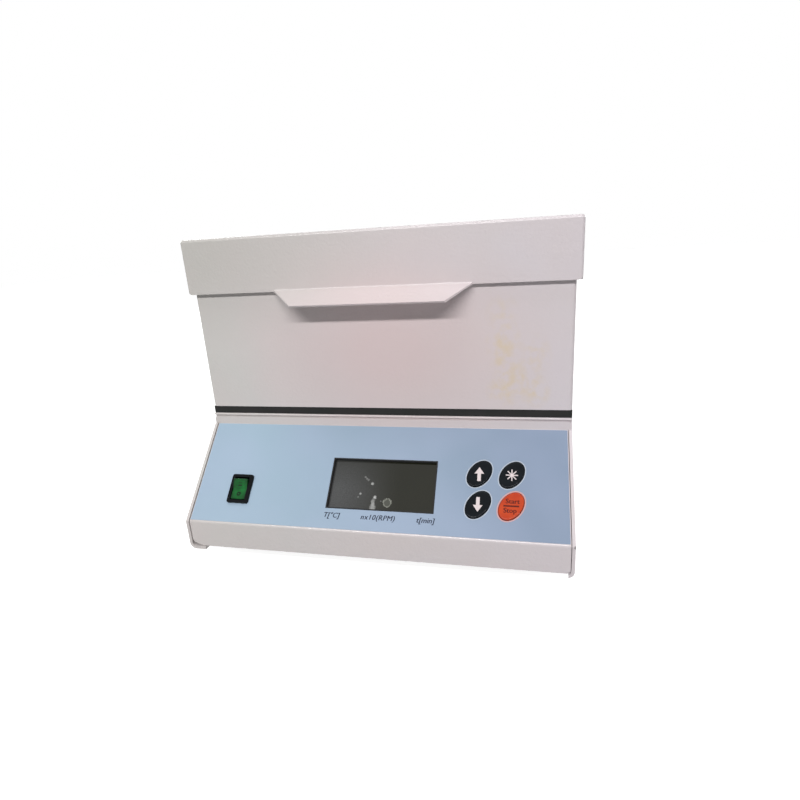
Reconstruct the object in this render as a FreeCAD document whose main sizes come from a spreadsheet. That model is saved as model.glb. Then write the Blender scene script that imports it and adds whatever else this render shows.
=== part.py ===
import FreeCAD, Part
import os
import Sketcher

# Bench-top shaking incubator: an insulated chamber with a hinged lid on a base whose sloping console
# holds the switch, display and keys. Origin at the centre of the footprint, on the surface it stands
# on; the console faces -Y, +Z is up, millimetres.

V = FreeCAD.Vector
TOUCH = 1e-4
TURN_TO = {
    "X": FreeCAD.Rotation(V(0, 1, 0), 90),
    "Y": FreeCAD.Rotation(V(1, 0, 0), -90),
    "Z": FreeCAD.Rotation(),
}
PAN_SLOTS = 7
REAR_SLOTS = 11
RETURN_SLOTS = 5
GRILLE_CIRCLES = 4
FAN_BLADES = 7
BLADE_ANGLE = 35

SIZES = {
    # Whole instrument: depth from the cheeks' front edges to the hinge knuckles, width of the chamber
    "depth": 350.0,
    "width": 262.0,
    # Feet
    "foot_height": 10.6,
    "foot_radius": 10.0,
    "foot_taper": 1.0,
    "foot_inset": 22.0,
    "foot_screw_radius": 2.0,
    "foot_screw_head_radius": 3.6,
    "foot_screw_head_height": 2.4,
    "foot_seat": 5.0,
    # Base pan: one folded sheet, its cheeks a little proud of the console
    "pan_sheet": 2.0,
    "pan_bend": 4.5,
    "pan_notch_depth": 9.0,
    "pan_notch_left": 12.0,
    "pan_notch_right": 3.6,
    "cheek_proud": 0.8,
    "vent_slot_width": 3.0,
    "vent_slot_length": 34.0,
    "vent_pitch": 8.0,
    "pan_vent_inset": 65.5,
    "pan_vent_back": 70.0,
    "spacer_edge": 4.0,
    # Console: front face, slope and top flange, folded from one sheet
    "console_sheet": 1.2,
    "console_side_gap": 0.4,
    "console_fold": 2.2,
    "console_return": 16.0,
    "face_lift": 2.5,
    "face_height": 18.9,
    "face_corner_width": 8.0,
    "face_corner_height": 4.5,
    "face_corner_knee": 1.3,
    "face_nip_width": 2.0,
    "face_nip_height": 1.5,
    "slope_run": 55.3,
    "slope_rise": 53.5,
    "flange_height": 5.5,
    "flange_step": 1.3,
    # Control film on the slope
    "film_thickness": 0.3,
    "film_edge": 0.5,
    "film_fold_margin": 1.3,
    # Display
    "window_x": 7.0,
    "window_down": 43.7,
    "window_width": 74.0,
    "window_height": 36.5,
    "window_lap": 3.0,
    "window_thickness": 1.5,
    "gasket_thickness": 1.0,
    "gasket_lip": 0.9,
    "display_width": 84.0,
    "display_height": 46.0,
    "display_thickness": 7.0,
    # Keys: ovals that lean to the upper right
    "keys_inset": 46.15,
    "keys_down": 43.8,
    "key_pitch": 20.9,
    "key_long_radius": 10.1,
    "key_short_radius": 6.85,
    "key_tilt": 55.6,
    "key_clearance": 0.3,
    "key_proud": 1.2,
    "key_rounding": 0.9,
    "key_flange_lap": 1.0,
    "key_flange_thickness": 1.0,
    "key_stem_radius": 2.2,
    "key_travel": 0.8,
    "stop_gap": 0.1,
    "seat_gap": 0.3,
    # Control board behind the slope
    "board_thickness": 1.6,
    "board_depth": 11.4,
    "board_display_gap": 7.0,
    "board_side_gap": 16.6,
    "board_down": 39.0,
    "board_height": 54.0,
    "board_post_radius": 3.0,
    "board_post_inset": 3.0,
    "tact_width": 6.0,
    "tact_height": 3.6,
    "tact_button_radius": 1.7,
    "tact_button_height": 1.0,
    # Rocker switch
    "rocker_inset": 33.1,
    "rocker_down": 51.8,
    "bezel_width": 16.0,
    "bezel_height": 21.0,
    "bezel_thickness": 2.0,
    "bezel_corner": 1.5,
    "bezel_edge": 0.5,
    "rocker_body_width": 13.2,
    "rocker_body_height": 19.2,
    "rocker_body_depth": 17.0,
    "rocker_well_width": 11.0,
    "rocker_well_height": 16.7,
    "rocker_well_depth": 9.0,
    "rocker_width": 10.6,
    "rocker_half_length": 7.4,
    "rocker_end_height": 4.2,
    "rocker_middle_height": 2.6,
    "rocker_skirt": 3.0,
    "rocker_draft": 0.4,
    "rocker_edge": 0.7,
    "rocker_pivot_depth": 1.0,
    "rocker_pivot_radius": 1.2,
    "rocker_pivot_length": 0.8,
    "rocker_tilt": 10.0,
    "terminal_width": 4.8,
    "terminal_thickness": 0.8,
    "terminal_length": 9.0,
    "cutout_clearance": 0.1,
    "running_clearance": 0.05,
    # Top deck: a stiff tray turned upside down
    "deck_gap": 1.3,
    "deck_sheet": 1.2,
    "deck_edge": 0.8,
    "deck_flange": 13.0,
    # Black isolator plate between deck and chamber
    "isolator_thickness": 5.3,
    # Chamber
    "housing_sheet": 1.2,
    "housing_bend": 2.0,
    "housing_rim": 10.0,
    "chamber_height": 106.2,
    "skirt_overlap": 22.0,
    "wall_insulation": 19.0,
    "floor_insulation": 10.0,
    "board_gap": 0.2,
    "liner_sheet": 0.8,
    "liner_flange_inset": 6.0,
    "liner_corner": 8.0,
    # Fan room behind the baffle
    "fan_room": 47.4,
    "baffle_sheet": 1.0,
    "baffle_top_gap": 4.0,
    "fan_width": 60.0,
    "fan_depth": 20.0,
    "fan_bore": 28.6,
    "fan_height": 46.0,
    "fan_tip_radius": 27.6,
    "fan_hub_radius": 11.5,
    "fan_hub_depth": 11.0,
    "fan_pin_radius": 1.5,
    "fan_spider_thickness": 3.0,
    "fan_strut_width": 3.0,
    "fan_front_gap": 1.5,
    "blade_thickness": 1.2,
    "blade_chord": 12.0,
    "grille_hole_radius": 2.6,
    "grille_pitch": 7.0,
    "return_slot_length": 30.0,
    "return_slot_height": 5.0,
    "return_slot_pitch": 12.8,
    "return_slot_inset": 14.0,
    "return_slot_rise": 16.0,
    "heater_radius": 3.2,
    "heater_bend": 14.0,
    "heater_half_width": 62.0,
    "heater_height": 76.0,
    "heater_back": 15.0,
    "heater_nut_radius": 6.0,
    "heater_nut_height": 4.0,
    "heater_foot_gap": 2.0,
    "probe_radius": 2.0,
    "probe_length": 44.0,
    "probe_side_gap": 24.0,
    "probe_drop": 18.0,
    "probe_clip_width": 10.0,
    "probe_clip_depth": 8.0,
    # Lid
    "lid_height": 37.5,
    "lid_overhang": 3.4,
    "lid_sheet": 1.2,
    "lid_fold": 2.0,
    "lid_corner": 3.2,
    "lip_base_half": 68.0,
    "lip_tip_half": 51.5,
    "lip_reach": 14.0,
    "lip_drop": 9.3,
    "lip_bend": 1.5,
    "lid_liner_sheet": 1.0,
    "lid_liner_inset": 3.5,
    "lid_gasket_width": 10.0,
    "lid_gasket_inset": 8.0,
    "lid_gasket_gap": 0.3,
    "lid_gasket_height": 4.0,
    # Rear hinges
    "hinge_inset": 49.0,
    "hinge_drop": 4.0,
    "hinge_half_length": 20.0,
    "hinge_middle_half": 6.5,
    "hinge_side_gap": 0.3,
    "hinge_leaf": 1.5,
    "hinge_leaf_height": 20.0,
    "knuckle_radius": 3.3,
    "hinge_pin_radius": 1.5,
    "hinge_clearance": 0.4,
    "hinge_screw_spacing": 26.0,
    "hinge_screw_drop": 16.0,
    # Shaker drive
    "drive_plate_thickness": 5.0,
    "drive_plate_margin": 9.0,
    "motor_radius": 30.0,
    "motor_height": 45.0,
    "motor_wall": 3.0,
    "rotor_radius": 24.0,
    "rotor_height": 24.0,
    "bearing_radius": 11.0,
    "bearing_height": 6.0,
    "shaft_radius": 5.0,
    "seal_radius": 12.0,
    "seal_flange_radius": 15.0,
    "seal_flange_height": 1.0,
    "seal_depth": 3.6,
    "hub_gap": 1.4,
    "hub_radius": 14.0,
    "hub_height": 3.5,
    "orbit_radius": 1.5,
    "crank_pin_radius": 4.0,
    "counterweight_radius": 29.0,
    # Idler cranks that carry the platform
    "post_inset": 20.0,
    "post_radius": 11.0,
    "post_top_gap": 4.0,
    "post_hole_clearance": 1.0,
    "idler_bearing_radius": 8.0,
    "idler_bearing_height": 5.0,
    "idler_journal_radius": 4.0,
    "idler_journal_length": 1.0,
    "idler_well_gap": 1.0,
    "idler_well_depth": 5.0,
    "idler_disc_radius": 7.5,
    "idler_disc_height": 3.0,
    "idler_pin_radius": 3.0,
    "idler_gap": 0.6,
    # Platform
    "platform_side_gap": 12.0,
    "platform_end_gap": 16.6,
    "platform_plate": 3.0,
    "platform_corner": 6.0,
    "boss_height": 3.4,
    "boss_radius": 7.5,
    "bush_wall": 1.2,
    "hub_ring_wall": 3.0,
    "platform_bearing_height": 7.0,
    "bearing_lip": 1.5,
    "bearing_floor": 1.0,
    "mat_thickness": 2.0,
    "mat_inset": 6.0,
    "rail_height": 14.0,
    "rail_sheet": 1.5,
    "rail_foot": 9.0,
    # Base electrics
    "standoff_height": 8.0,
    "standoff_radius": 3.0,
    "standoff_inset": 6.0,
    "power_board_width": 92.0,
    "power_board_depth": 80.0,
    "power_board_side_gap": 17.0,
    "power_board_back_gap": 29.0,
    "capacitor_radius": 8.0,
    "capacitor_height": 24.0,
    "capacitor_pitch": 22.0,
    "capacitor_inset": 20.0,
    "cooler_thickness": 16.0,
    "cooler_height": 26.0,
    "cooler_inset": 8.0,
    "cooler_end_gap": 18.0,
    "transformer_side_gap": 30.0,
    "transformer_back_gap": 46.0,
    "transformer_width": 54.0,
    "transformer_depth": 46.0,
    "transformer_height": 48.0,
    "ribbon_inset": 5.0,
    "ribbon_width": 26.0,
    "ribbon_thickness": 1.0,
    "ribbon_lap": 8.0,
    # Mains inlet in the rear panel
    "rear_sheet": 1.2,
    "rear_gap": 0.3,
    "rear_vent_inset": 22.8,
    "inlet_inset": 47.0,
    "inlet_rise": 37.4,
    "inlet_flange_width": 32.0,
    "inlet_flange_height": 48.0,
    "inlet_flange": 3.0,
    "inlet_body_width": 28.0,
    "inlet_body_height": 43.0,
    "inlet_body_depth": 24.0,
    "inlet_well_width": 24.6,
    "inlet_well_height": 16.8,
    "inlet_well_depth": 18.0,
    "inlet_well_rise": 9.0,
    "inlet_pin_spacing": 14.0,
    "inlet_pin_width": 2.0,
    "inlet_pin_height": 4.0,
    "inlet_pin_recess": 2.0,
    "inlet_pin_drop": 1.2,
    "earth_pin_rise": 3.2,
    "drawer_width": 22.0,
    "drawer_height": 10.0,
    "drawer_depth": 20.0,
    "drawer_drop": 12.5,
    "drawer_clearance": 0.3,
    "drawer_wall": 2.0,
    "drawer_proud": 1.5,
    "fuse_radius": 2.5,
    # Fasteners
    "screw_radius": 1.5,
    "screw_head_radius": 2.8,
    "screw_head_height": 1.6,
    "screw_clearance": 0.1,
    "screw_grip": 1.0,
}

doc = FreeCAD.newDocument("shaking_incubator")
sheet = doc.addObject("Spreadsheet::Sheet", "sizes")
for row, (alias, number) in enumerate(SIZES.items(), 1):
    sheet.set(f"A{row}", alias)
    sheet.set(f"B{row}", str(number))
    sheet.setAlias(f"B{row}", alias)
doc.recompute()

pieces = []
spacers = []


class Size:
    """A length or angle written as an expression of the sheet's cells, so what takes it follows them."""

    def __init__(self, text):
        self.text = str(text)

    @property
    def value(self):
        return float(getattr(sheet.evalExpression(self.text), "Value", sheet.evalExpression(self.text)))

    def join(self, sign, other, swap=False):
        first, last = (other, self) if swap else (self, other)
        return Size(f"({expression(first)} {sign} {expression(last)})")

    def __add__(self, other):
        return self.join("+", other)

    def __radd__(self, other):
        return self.join("+", other, swap=True)

    def __sub__(self, other):
        return self.join("-", other)

    def __rsub__(self, other):
        return self.join("-", other, swap=True)

    def __mul__(self, other):
        return self.join("*", other)

    def __rmul__(self, other):
        return self.join("*", other, swap=True)

    def __truediv__(self, other):
        return self.join("/", other)

    def __neg__(self):
        return Size(f"(-1 * {self.text})")


class Sheet:
    """Gives each cell by its alias."""

    def __getattr__(self, alias):
        return Size(f"sizes.{alias}")


def expression(size):
    return size.text if isinstance(size, Size) else str(size)


def number(size):
    return size.value if isinstance(size, Size) else float(size)


s = Sheet()

# Planes and levels, from the driving sizes
y_front = -s.depth / 2
y_face = y_front + s.cheek_proud
y_flange = y_face + s.slope_run
y_panel = y_flange + s.flange_step
y_hinge = s.depth / 2 - s.knuckle_radius
y_lid_back = y_hinge - s.knuckle_radius
y_back = y_lid_back - s.lid_overhang
y_lid_front = y_panel - s.lid_overhang
x_side = s.width / 2
x_lid = x_side + s.lid_overhang
x_cheek = x_side - s.pan_sheet
x_console = x_cheek - s.console_side_gap

z_pan = s.foot_height
z_floor = z_pan + s.pan_sheet
z_face = z_pan + s.face_lift
z_fold = z_face + s.face_height
z_slope = z_fold + s.slope_rise
z_flange = z_slope + s.flange_height
z_deck = z_flange + s.deck_gap
z_deck_top = z_deck + s.deck_sheet
z_chamber = z_deck_top + s.isolator_thickness
z_rim = z_chamber + s.chamber_height
z_skirt = z_rim - s.skirt_overlap
z_lid = z_skirt + s.lid_height
z_hinge = z_skirt - s.hinge_drop
z_lid_screws = z_skirt + s.hinge_leaf_height / 2
z_body_screws = z_hinge - s.hinge_screw_drop
x_hinge = x_side - s.hinge_inset
y_body_leaf = y_back + s.lid_overhang - s.hinge_clearance
hinge_screw_sides = (-1, 1)

wall = s.housing_sheet + s.wall_insulation + s.liner_sheet
x_liner = x_side - wall
y_liner_front = y_panel + wall
y_liner_back = y_back - wall
z_liner = z_chamber + s.floor_insulation
z_inside = z_liner + s.liner_sheet
z_liner_top = z_rim + s.liner_sheet
y_baffle = y_liner_back - s.fan_room
y_drive = (y_liner_front + y_baffle) / 2
y_heater = y_liner_back - s.heater_back
z_fan = z_inside + s.fan_height
x_platform = x_liner - s.platform_side_gap
half_depth_platform = (y_baffle - y_liner_front) / 2 - s.platform_end_gap
x_post = x_platform - s.post_inset
half_depth_posts = half_depth_platform - s.post_inset

x_keys = x_console - s.keys_inset
x_rocker = s.rocker_inset - x_console
x_board = (s.window_x - s.display_width / 2 - s.board_display_gap, x_console - s.board_side_gap)
x_inlet = s.inlet_inset - x_side
z_inlet = z_floor + s.inlet_rise

slope_angle = Size("(atan2(sizes.slope_rise; sizes.slope_run) / 1 deg)")
slope_cos = Size("cos(atan2(sizes.slope_rise; sizes.slope_run))")
slope_sin = Size("sin(atan2(sizes.slope_rise; sizes.slope_run))")
slope_length = Size("sqrt(sizes.slope_rise ^ 2 + sizes.slope_run ^ 2)")
fold_ratio = Size("tan(45 deg - atan2(sizes.slope_rise; sizes.slope_run) / 2)")

z_hub = z_inside + s.seal_flange_height + s.hub_gap
z_post_top = z_inside + s.post_top_gap
z_disc = z_post_top + s.idler_gap
z_disc_top = z_disc + s.idler_disc_height
z_boss = z_disc_top + s.idler_gap
z_plate = z_boss + s.boss_height
z_plate_top = z_plate + s.platform_plate
z_mat_top = z_plate_top + s.mat_thickness


def bind(obj, **properties):
    for name, size in properties.items():
        obj.setExpression(name, expression(size))
    return obj


def place(obj, x=0, y=0, z=0):
    for axis, size in zip("xyz", (x, y, z)):
        obj.setExpression(f"Placement.Base.{axis}", expression(size))
    return obj


def keep(obj):
    """Marks an object as a finished piece, written to its own file under its label."""
    pieces.append(obj)
    return obj


def box(name, xs, ys, zs):
    """Block between a low and a high plane along each axis."""
    block = doc.addObject("Part::Box", name)
    bind(block, Length=xs[1] - xs[0], Width=ys[1] - ys[0], Height=zs[1] - zs[0])
    return place(block, xs[0], ys[0], zs[0])


def rod(name, axis, start, length, radius):
    """Cylinder along an axis from its start point."""
    cylinder = doc.addObject("Part::Cylinder", name)
    cylinder.Placement = FreeCAD.Placement(V(), TURN_TO[axis])
    bind(cylinder, Radius=radius, Height=length)
    return place(cylinder, *start)


def oval(name, x, y, z, height, long_radius, short_radius):
    """Prism over an oval that leans by the keys' tilt."""
    outline = doc.addObject("Part::Ellipse", f"{name}_outline")
    outline.Placement = FreeCAD.Placement(V(), FreeCAD.Rotation(V(0, 0, 1), 1))
    bind(outline, MajorRadius=long_radius, MinorRadius=short_radius)
    outline.setExpression("Placement.Rotation.Angle", s.key_tilt.text)
    place(outline, x, y, z)
    prism = doc.addObject("Part::Extrusion", name)
    prism.Base = outline
    prism.DirMode = "Custom"
    prism.Dir = V(0, 0, 1)
    prism.Solid = True
    return bind(prism, LengthFwd=height)


def group(name, links):
    """Separate solids held as one object."""
    compound = doc.addObject("Part::Compound", name)
    compound.Links = list(links)
    return compound


def fuse(name, *parts):
    union = doc.addObject("Part::MultiFuse", name)
    union.Shapes = list(parts)
    union.Refine = True
    return union


def cut(name, base, *tools):
    difference = doc.addObject("Part::Cut", name)
    difference.Base = base
    difference.Tool = tools[0] if len(tools) == 1 else group(f"{name}_tools", tools)
    difference.Refine = True
    return difference


def soften(name, base, radius, wanted):
    """Rounds the edges of a primitive or boolean that the test picks."""
    doc.recompute()
    rounded = doc.addObject("Part::Fillet", name)
    rounded.Base = base
    picked = [index for index, edge in enumerate(base.Shape.Edges, 1) if wanted(edge)]
    rounded.Edges = [(index, number(radius), number(radius)) for index in picked]
    return rounded


def runs_along(edge, axis):
    """True for a straight edge along one axis."""
    box_of = edge.BoundBox
    lengths = {"X": box_of.XLength, "Y": box_of.YLength, "Z": box_of.ZLength}
    return lengths[axis] > TOUCH and all(lengths[other] < TOUCH for other in lengths if other != axis)


def on_slope(obj, extra_turn=0):
    """Seats an object made flat, X right, Y up the slope and Z out of it, on the console's slope."""
    obj.Placement = FreeCAD.Placement(V(), FreeCAD.Rotation(V(1, 0, 0), 1))
    obj.setExpression("Placement.Rotation.Angle", (slope_angle + extra_turn).text)
    return place(obj, 0, y_flange, z_slope)


def slope_point(up, out):
    """Y and Z in the part of a point given up the slope from its top edge and out of its face."""
    return (y_flange + up * slope_cos - out * slope_sin, z_slope + up * slope_sin + out * slope_cos)


def new_body(name):
    return doc.addObject("PartDesign::Body", name)


def sketch(body, role, outward=0):
    """Sketch on one of the body's own planes, moved along the plane's normal."""
    plane = next(feature for feature in body.Origin.OriginFeatures if feature.Role == role)
    drawing = body.newObject("Sketcher::SketchObject", f"{body.Name}_sketch")
    drawing.AttachmentSupport = [(plane, "")]
    drawing.MapMode = "FlatFace"
    drawing.setExpression("AttachmentOffset.Base.z", expression(outward))
    return drawing


def outline(drawing, points):
    """Closed straight-sided outline whose corners are bound to the sheet."""
    first = drawing.GeometryCount
    corners = [V(number(x), number(y), 0) for x, y in points]
    count = len(corners)
    for index in range(count):
        drawing.addGeometry(Part.LineSegment(corners[index], corners[(index + 1) % count]))
    for index in range(count):
        line, following = first + index, first + (index + 1) % count
        drawing.addConstraint(Sketcher.Constraint("Coincident", line, 2, following, 1))
    for index, (x, y) in enumerate(points):
        for kind, size in (("DistanceX", x), ("DistanceY", y)):
            link = Sketcher.Constraint(kind, -1, 1, first + index, 1, number(size))
            bind(drawing, **{f"Constraints[{drawing.addConstraint(link)}]": size})


def rectangle(drawing, xs, ys):
    outline(drawing, [(xs[0], ys[0]), (xs[1], ys[0]), (xs[1], ys[1]), (xs[0], ys[1])])


def pad(body, drawing, length, symmetric=False, backwards=False):
    feature = body.newObject("PartDesign::Pad", f"{body.Name}_pad")
    feature.Profile = drawing
    feature.SideType = "Symmetric" if symmetric else "One side"
    feature.Reversed = backwards
    return bind(feature, Length=length)


def pocket(body, drawing, length, symmetric=False, backwards=False):
    """Takes the outline out of the body and makes sure that it took something."""
    doc.recompute()
    before = body.Shape.Volume
    feature = body.newObject("PartDesign::Pocket", f"{body.Name}_pocket")
    feature.Profile = drawing
    feature.SideType = "Symmetric" if symmetric else "One side"
    feature.Reversed = backwards
    bind(feature, Length=length)
    doc.recompute()
    if body.Shape.Volume >= before - TOUCH:
        raise RuntimeError(f"{body.Name}: a pocket takes nothing away")
    return feature


def turned(name, profile):
    """Body of revolution about its own Z axis, from radius and height pairs."""
    body = new_body(name)
    drawing = sketch(body, "XZ_Plane")
    outline(drawing, profile)
    feature = body.newObject("PartDesign::Revolution", f"{name}_turn")
    feature.Profile = drawing
    feature.ReferenceAxis = (drawing, ["V_Axis"])
    feature.Angle = 360
    return body


def ring(name, inner, outer, bottom, top):
    return turned(name, [(inner, bottom), (outer, bottom), (outer, top), (inner, top)])


def bend(body, feature, radius, axis, *places):
    """Rounds the feature's edges along one axis that pass through the given places."""
    doc.recompute()
    others = [index for index in range(3) if "XYZ"[index] != axis]
    wanted = [[number(size) for size in spot] for spot in places]
    names = []
    for index, edge in enumerate(feature.Shape.Edges, 1):
        point = edge.Vertexes[0].Point
        near = any(all(abs(point[o] - at) < TOUCH for o, at in zip(others, spot)) for spot in wanted)
        if near and runs_along(edge, axis):
            names.append(f"Edge{index}")
    fillet = body.newObject("PartDesign::Fillet", f"{body.Name}_bend")
    fillet.Base = (feature, names)
    return bind(fillet, Radius=radius)


def screw(name, axis, start, inwards, length):
    """Button-head screw: its head stands on the start point and its shank goes the other way."""
    x, y, z = start
    step = {"X": 0, "Y": 1, "Z": 2}[axis]
    head_start, shank_start = [x, y, z], [x, y, z]
    if inwards > 0:
        head_start[step] = start[step] - s.screw_head_height
    else:
        shank_start[step] = start[step] - length
    head = rod(f"{name}_head", axis, head_start, s.screw_head_height, s.screw_head_radius)
    shank = rod(f"{name}_shank", axis, shank_start, length, s.screw_radius)
    return fuse(name, head, shank)


# Base: feet, pan and console

foot_x = x_side - s.foot_inset
foot_places = [
    (sign_x * foot_x, y_edge + sign_y * s.foot_inset)
    for sign_x in (-1, 1)
    for y_edge, sign_y in ((y_front + s.foot_inset, 1), (y_back, -1))
]
foot_shank = s.foot_screw_radius + s.screw_clearance

FEET = []
FOOT_SCREWS = []
for index, (x, y) in enumerate(foot_places, 1):
    foot = turned(f"foot_{index}", [
        (foot_shank, s.foot_seat + s.foot_screw_head_height),
        (s.foot_screw_head_radius + s.seat_gap, s.foot_seat + s.foot_screw_head_height),
        (s.foot_screw_head_radius + s.seat_gap, 0),
        (s.foot_radius - s.foot_taper, 0),
        (s.foot_radius, s.foot_height),
        (foot_shank, s.foot_height),
    ])
    FEET.append(place(foot, x, y, 0))
    head = rod(f"foot_head_{index}", "Z", (x, y, s.foot_seat), s.foot_screw_head_height,
               s.foot_screw_head_radius)
    shank_length = z_floor + s.pan_sheet - s.foot_seat
    shank = rod(f"foot_shank_{index}", "Z", (x, y, s.foot_seat), shank_length, s.foot_screw_radius)
    FOOT_SCREWS.append(fuse(f"foot_screw_{index}", head, shank))
keep(group("feet", FEET))
keep(group("foot_screws", FOOT_SCREWS))

spacer_y = y_face + s.console_return - s.spacer_edge
spacer_places = [(sign * (foot_x - s.foot_inset), spacer_y) for sign in (-1, 1)]
side_screw_ys = [y_panel + s.foot_inset, (y_panel + y_back) / 2, y_back - s.foot_inset]
side_screw_z = z_deck - s.deck_flange / 2


def base_pan():
    """Bottom and both cheeks, folded from one sheet; the bottom stops short behind the front face."""
    body = new_body("pan_blank")
    section = sketch(body, "XZ_Plane", outward=-y_back)
    outline(section, [
        (-x_side, z_pan), (x_side, z_pan), (x_side, z_deck), (x_cheek, z_deck),
        (x_cheek, z_floor), (-x_cheek, z_floor), (-x_cheek, z_deck), (-x_side, z_deck),
    ])
    folded = pad(body, section, y_back - y_front)
    outer = bend(body, folded, s.pan_bend, "Y", (-x_side, z_pan), (x_side, z_pan))
    bend(body, outer, s.pan_bend - s.pan_sheet, "Y", (-x_cheek, z_floor), (x_cheek, z_floor))
    proud_fold = z_fold + fold_ratio * s.cheek_proud
    top_y = y_front + (z_slope - proud_fold) * s.slope_run / s.slope_rise
    behind_flange = y_flange + s.console_sheet + s.console_side_gap
    side = sketch(body, "YZ_Plane")
    outline(side, [
        (y_front, proud_fold), (top_y, z_slope), (behind_flange, z_slope),
        (behind_flange, z_deck + 1), (y_front - 1, z_deck + 1), (y_front - 1, proud_fold),
    ])
    pocket(body, side, s.width + 2, symmetric=True)
    notch = sketch(body, "XY_Plane", outward=z_pan + s.pan_bend)
    rectangle(notch, (-x_side + s.pan_notch_left, x_side - s.pan_notch_right),
              (y_front - 1, y_front + s.pan_notch_depth))
    pocket(body, notch, s.pan_bend)
    slots = []
    for side_sign in (-1, 1):
        for step in range(PAN_SLOTS):
            along = (step - (PAN_SLOTS - 1) / 2) * s.vent_pitch
            centre = side_sign * (x_side - s.pan_vent_inset) + along
            slots.append(box(
                f"pan_slot_{len(slots)}",
                (centre - s.vent_slot_width / 2, centre + s.vent_slot_width / 2),
                (y_front + s.pan_vent_back, y_front + s.pan_vent_back + s.vent_slot_length),
                (z_pan - 1, z_floor + 1)))
    holes = [rod(f"pan_foot_hole_{index}", "Z", (x, y, z_pan - 1), s.pan_sheet + 2, foot_shank)
             for index, (x, y) in enumerate(foot_places)]
    holes += [rod(f"pan_spacer_hole_{index}", "Z", (x, y, z_pan - 1), s.pan_sheet + 2,
                  s.screw_radius + s.screw_clearance) for index, (x, y) in enumerate(spacer_places)]
    holes += [rod(f"pan_side_hole_{index}", "X", (-x_side - 1, y, side_screw_z), s.width + 2,
                  s.screw_radius + s.screw_clearance) for index, y in enumerate(side_screw_ys)]
    return keep(cut("base_pan", body, *slots, *holes))


key_places = {
    "key_up": (-1, 1),
    "key_function": (1, 1),
    "key_down": (-1, -1),
    "key_start": (1, -1),
}
key_centres = {
    name: (x_keys + right * s.key_pitch / 2, up * s.key_pitch / 2 - s.keys_down)
    for name, (right, up) in key_places.items()
}
window_xs = (s.window_x - s.window_width / 2, s.window_x + s.window_width / 2)
window_ys = (-s.window_down - s.window_height / 2, s.window_height / 2 - s.window_down)


def slope_openings(name, low, high, oversize):
    """Solids that open the display, switch and key places through a sheet on the slope."""
    tools = [box(f"{name}_display", window_xs, window_ys, (low, high))]
    half_width = s.rocker_body_width / 2 + s.cutout_clearance
    half_height = s.rocker_body_height / 2 + s.cutout_clearance
    tools.append(box(f"{name}_switch", (x_rocker - half_width, x_rocker + half_width),
                     (-s.rocker_down - half_height, half_height - s.rocker_down), (low, high)))
    for key, (x, y) in key_centres.items():
        tools.append(oval(f"{name}_{key}", x, y, low, high - low,
                          s.key_long_radius + oversize, s.key_short_radius + oversize))
    return tools


def console_panel():
    """Top flange, slope, front face and return, folded from one sheet between the cheeks."""
    body = new_body("console_blank")
    sheet_inset = fold_ratio * s.console_sheet
    y_face_in, y_flange_in = y_face + s.console_sheet, y_flange + s.console_sheet
    section = sketch(body, "YZ_Plane")
    outline(section, [
        (y_flange, z_slope), (y_face, z_fold), (y_face, z_face),
        (y_face_in, z_face), (y_face_in, z_fold - sheet_inset), (y_flange_in, z_slope - sheet_inset),
        (y_flange_in, z_slope),
    ])
    slope = pad(body, section, x_console * 2, symmetric=True)
    outer = bend(body, slope, s.console_fold, "X", (y_face, z_fold))
    bend(body, outer, s.console_fold - s.console_sheet, "X", (y_face_in, z_fold - sheet_inset))
    corners = sketch(body, "XZ_Plane", outward=-y_face_in)
    outline(corners, [
        (s.face_corner_width - x_console, z_face - 1), (s.face_corner_width - x_console, z_face),
        (s.face_corner_knee - x_console, z_face + s.face_corner_height / 2),
        (-x_console, z_face + s.face_corner_height), (-x_console - 1, z_face - 1),
    ])
    outline(corners, [
        (x_console - s.face_nip_width, z_face - 1), (x_console - s.face_nip_width, z_face),
        (x_console, z_face + s.face_nip_height), (x_console + 1, z_face - 1),
    ])
    pocket(body, corners, s.console_sheet * 2, symmetric=True)
    flange = sketch(body, "YZ_Plane")
    rectangle(flange, (y_flange, y_flange_in), (z_slope, z_flange))
    standing = pad(body, flange, s.width, symmetric=True)
    bend(body, standing, s.console_fold, "Y", (-x_side, z_flange), (x_side, z_flange))
    back_edge = sketch(body, "YZ_Plane")
    rectangle(back_edge, (y_face, y_face + s.console_return), (z_face, z_face + s.console_sheet))
    pad(body, back_edge, (x_console - s.face_corner_width) * 2, symmetric=True)
    tools = slope_openings("console_hole", -3 * s.console_sheet, 1, s.key_clearance)
    openings = on_slope(group("console_openings", tools))
    screws = [rod(f"console_spacer_hole_{index}", "Z", (x, y, z_face - 1), s.console_sheet + 2,
                  s.screw_radius + s.screw_clearance) for index, (x, y) in enumerate(spacer_places)]
    return keep(cut("console_panel", body, openings, *screws))


def control_film():
    """Printed film on the slope, with the display, switch and key places cut out."""
    blank = box("film_blank", (-x_console + s.film_edge, x_console - s.film_edge),
                (-slope_length + s.film_fold_margin, -s.film_edge), (0, s.film_thickness))
    tools = slope_openings("film_hole", -1, 1, s.key_clearance)
    return keep(on_slope(cut("control_film", blank, *tools)))


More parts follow.
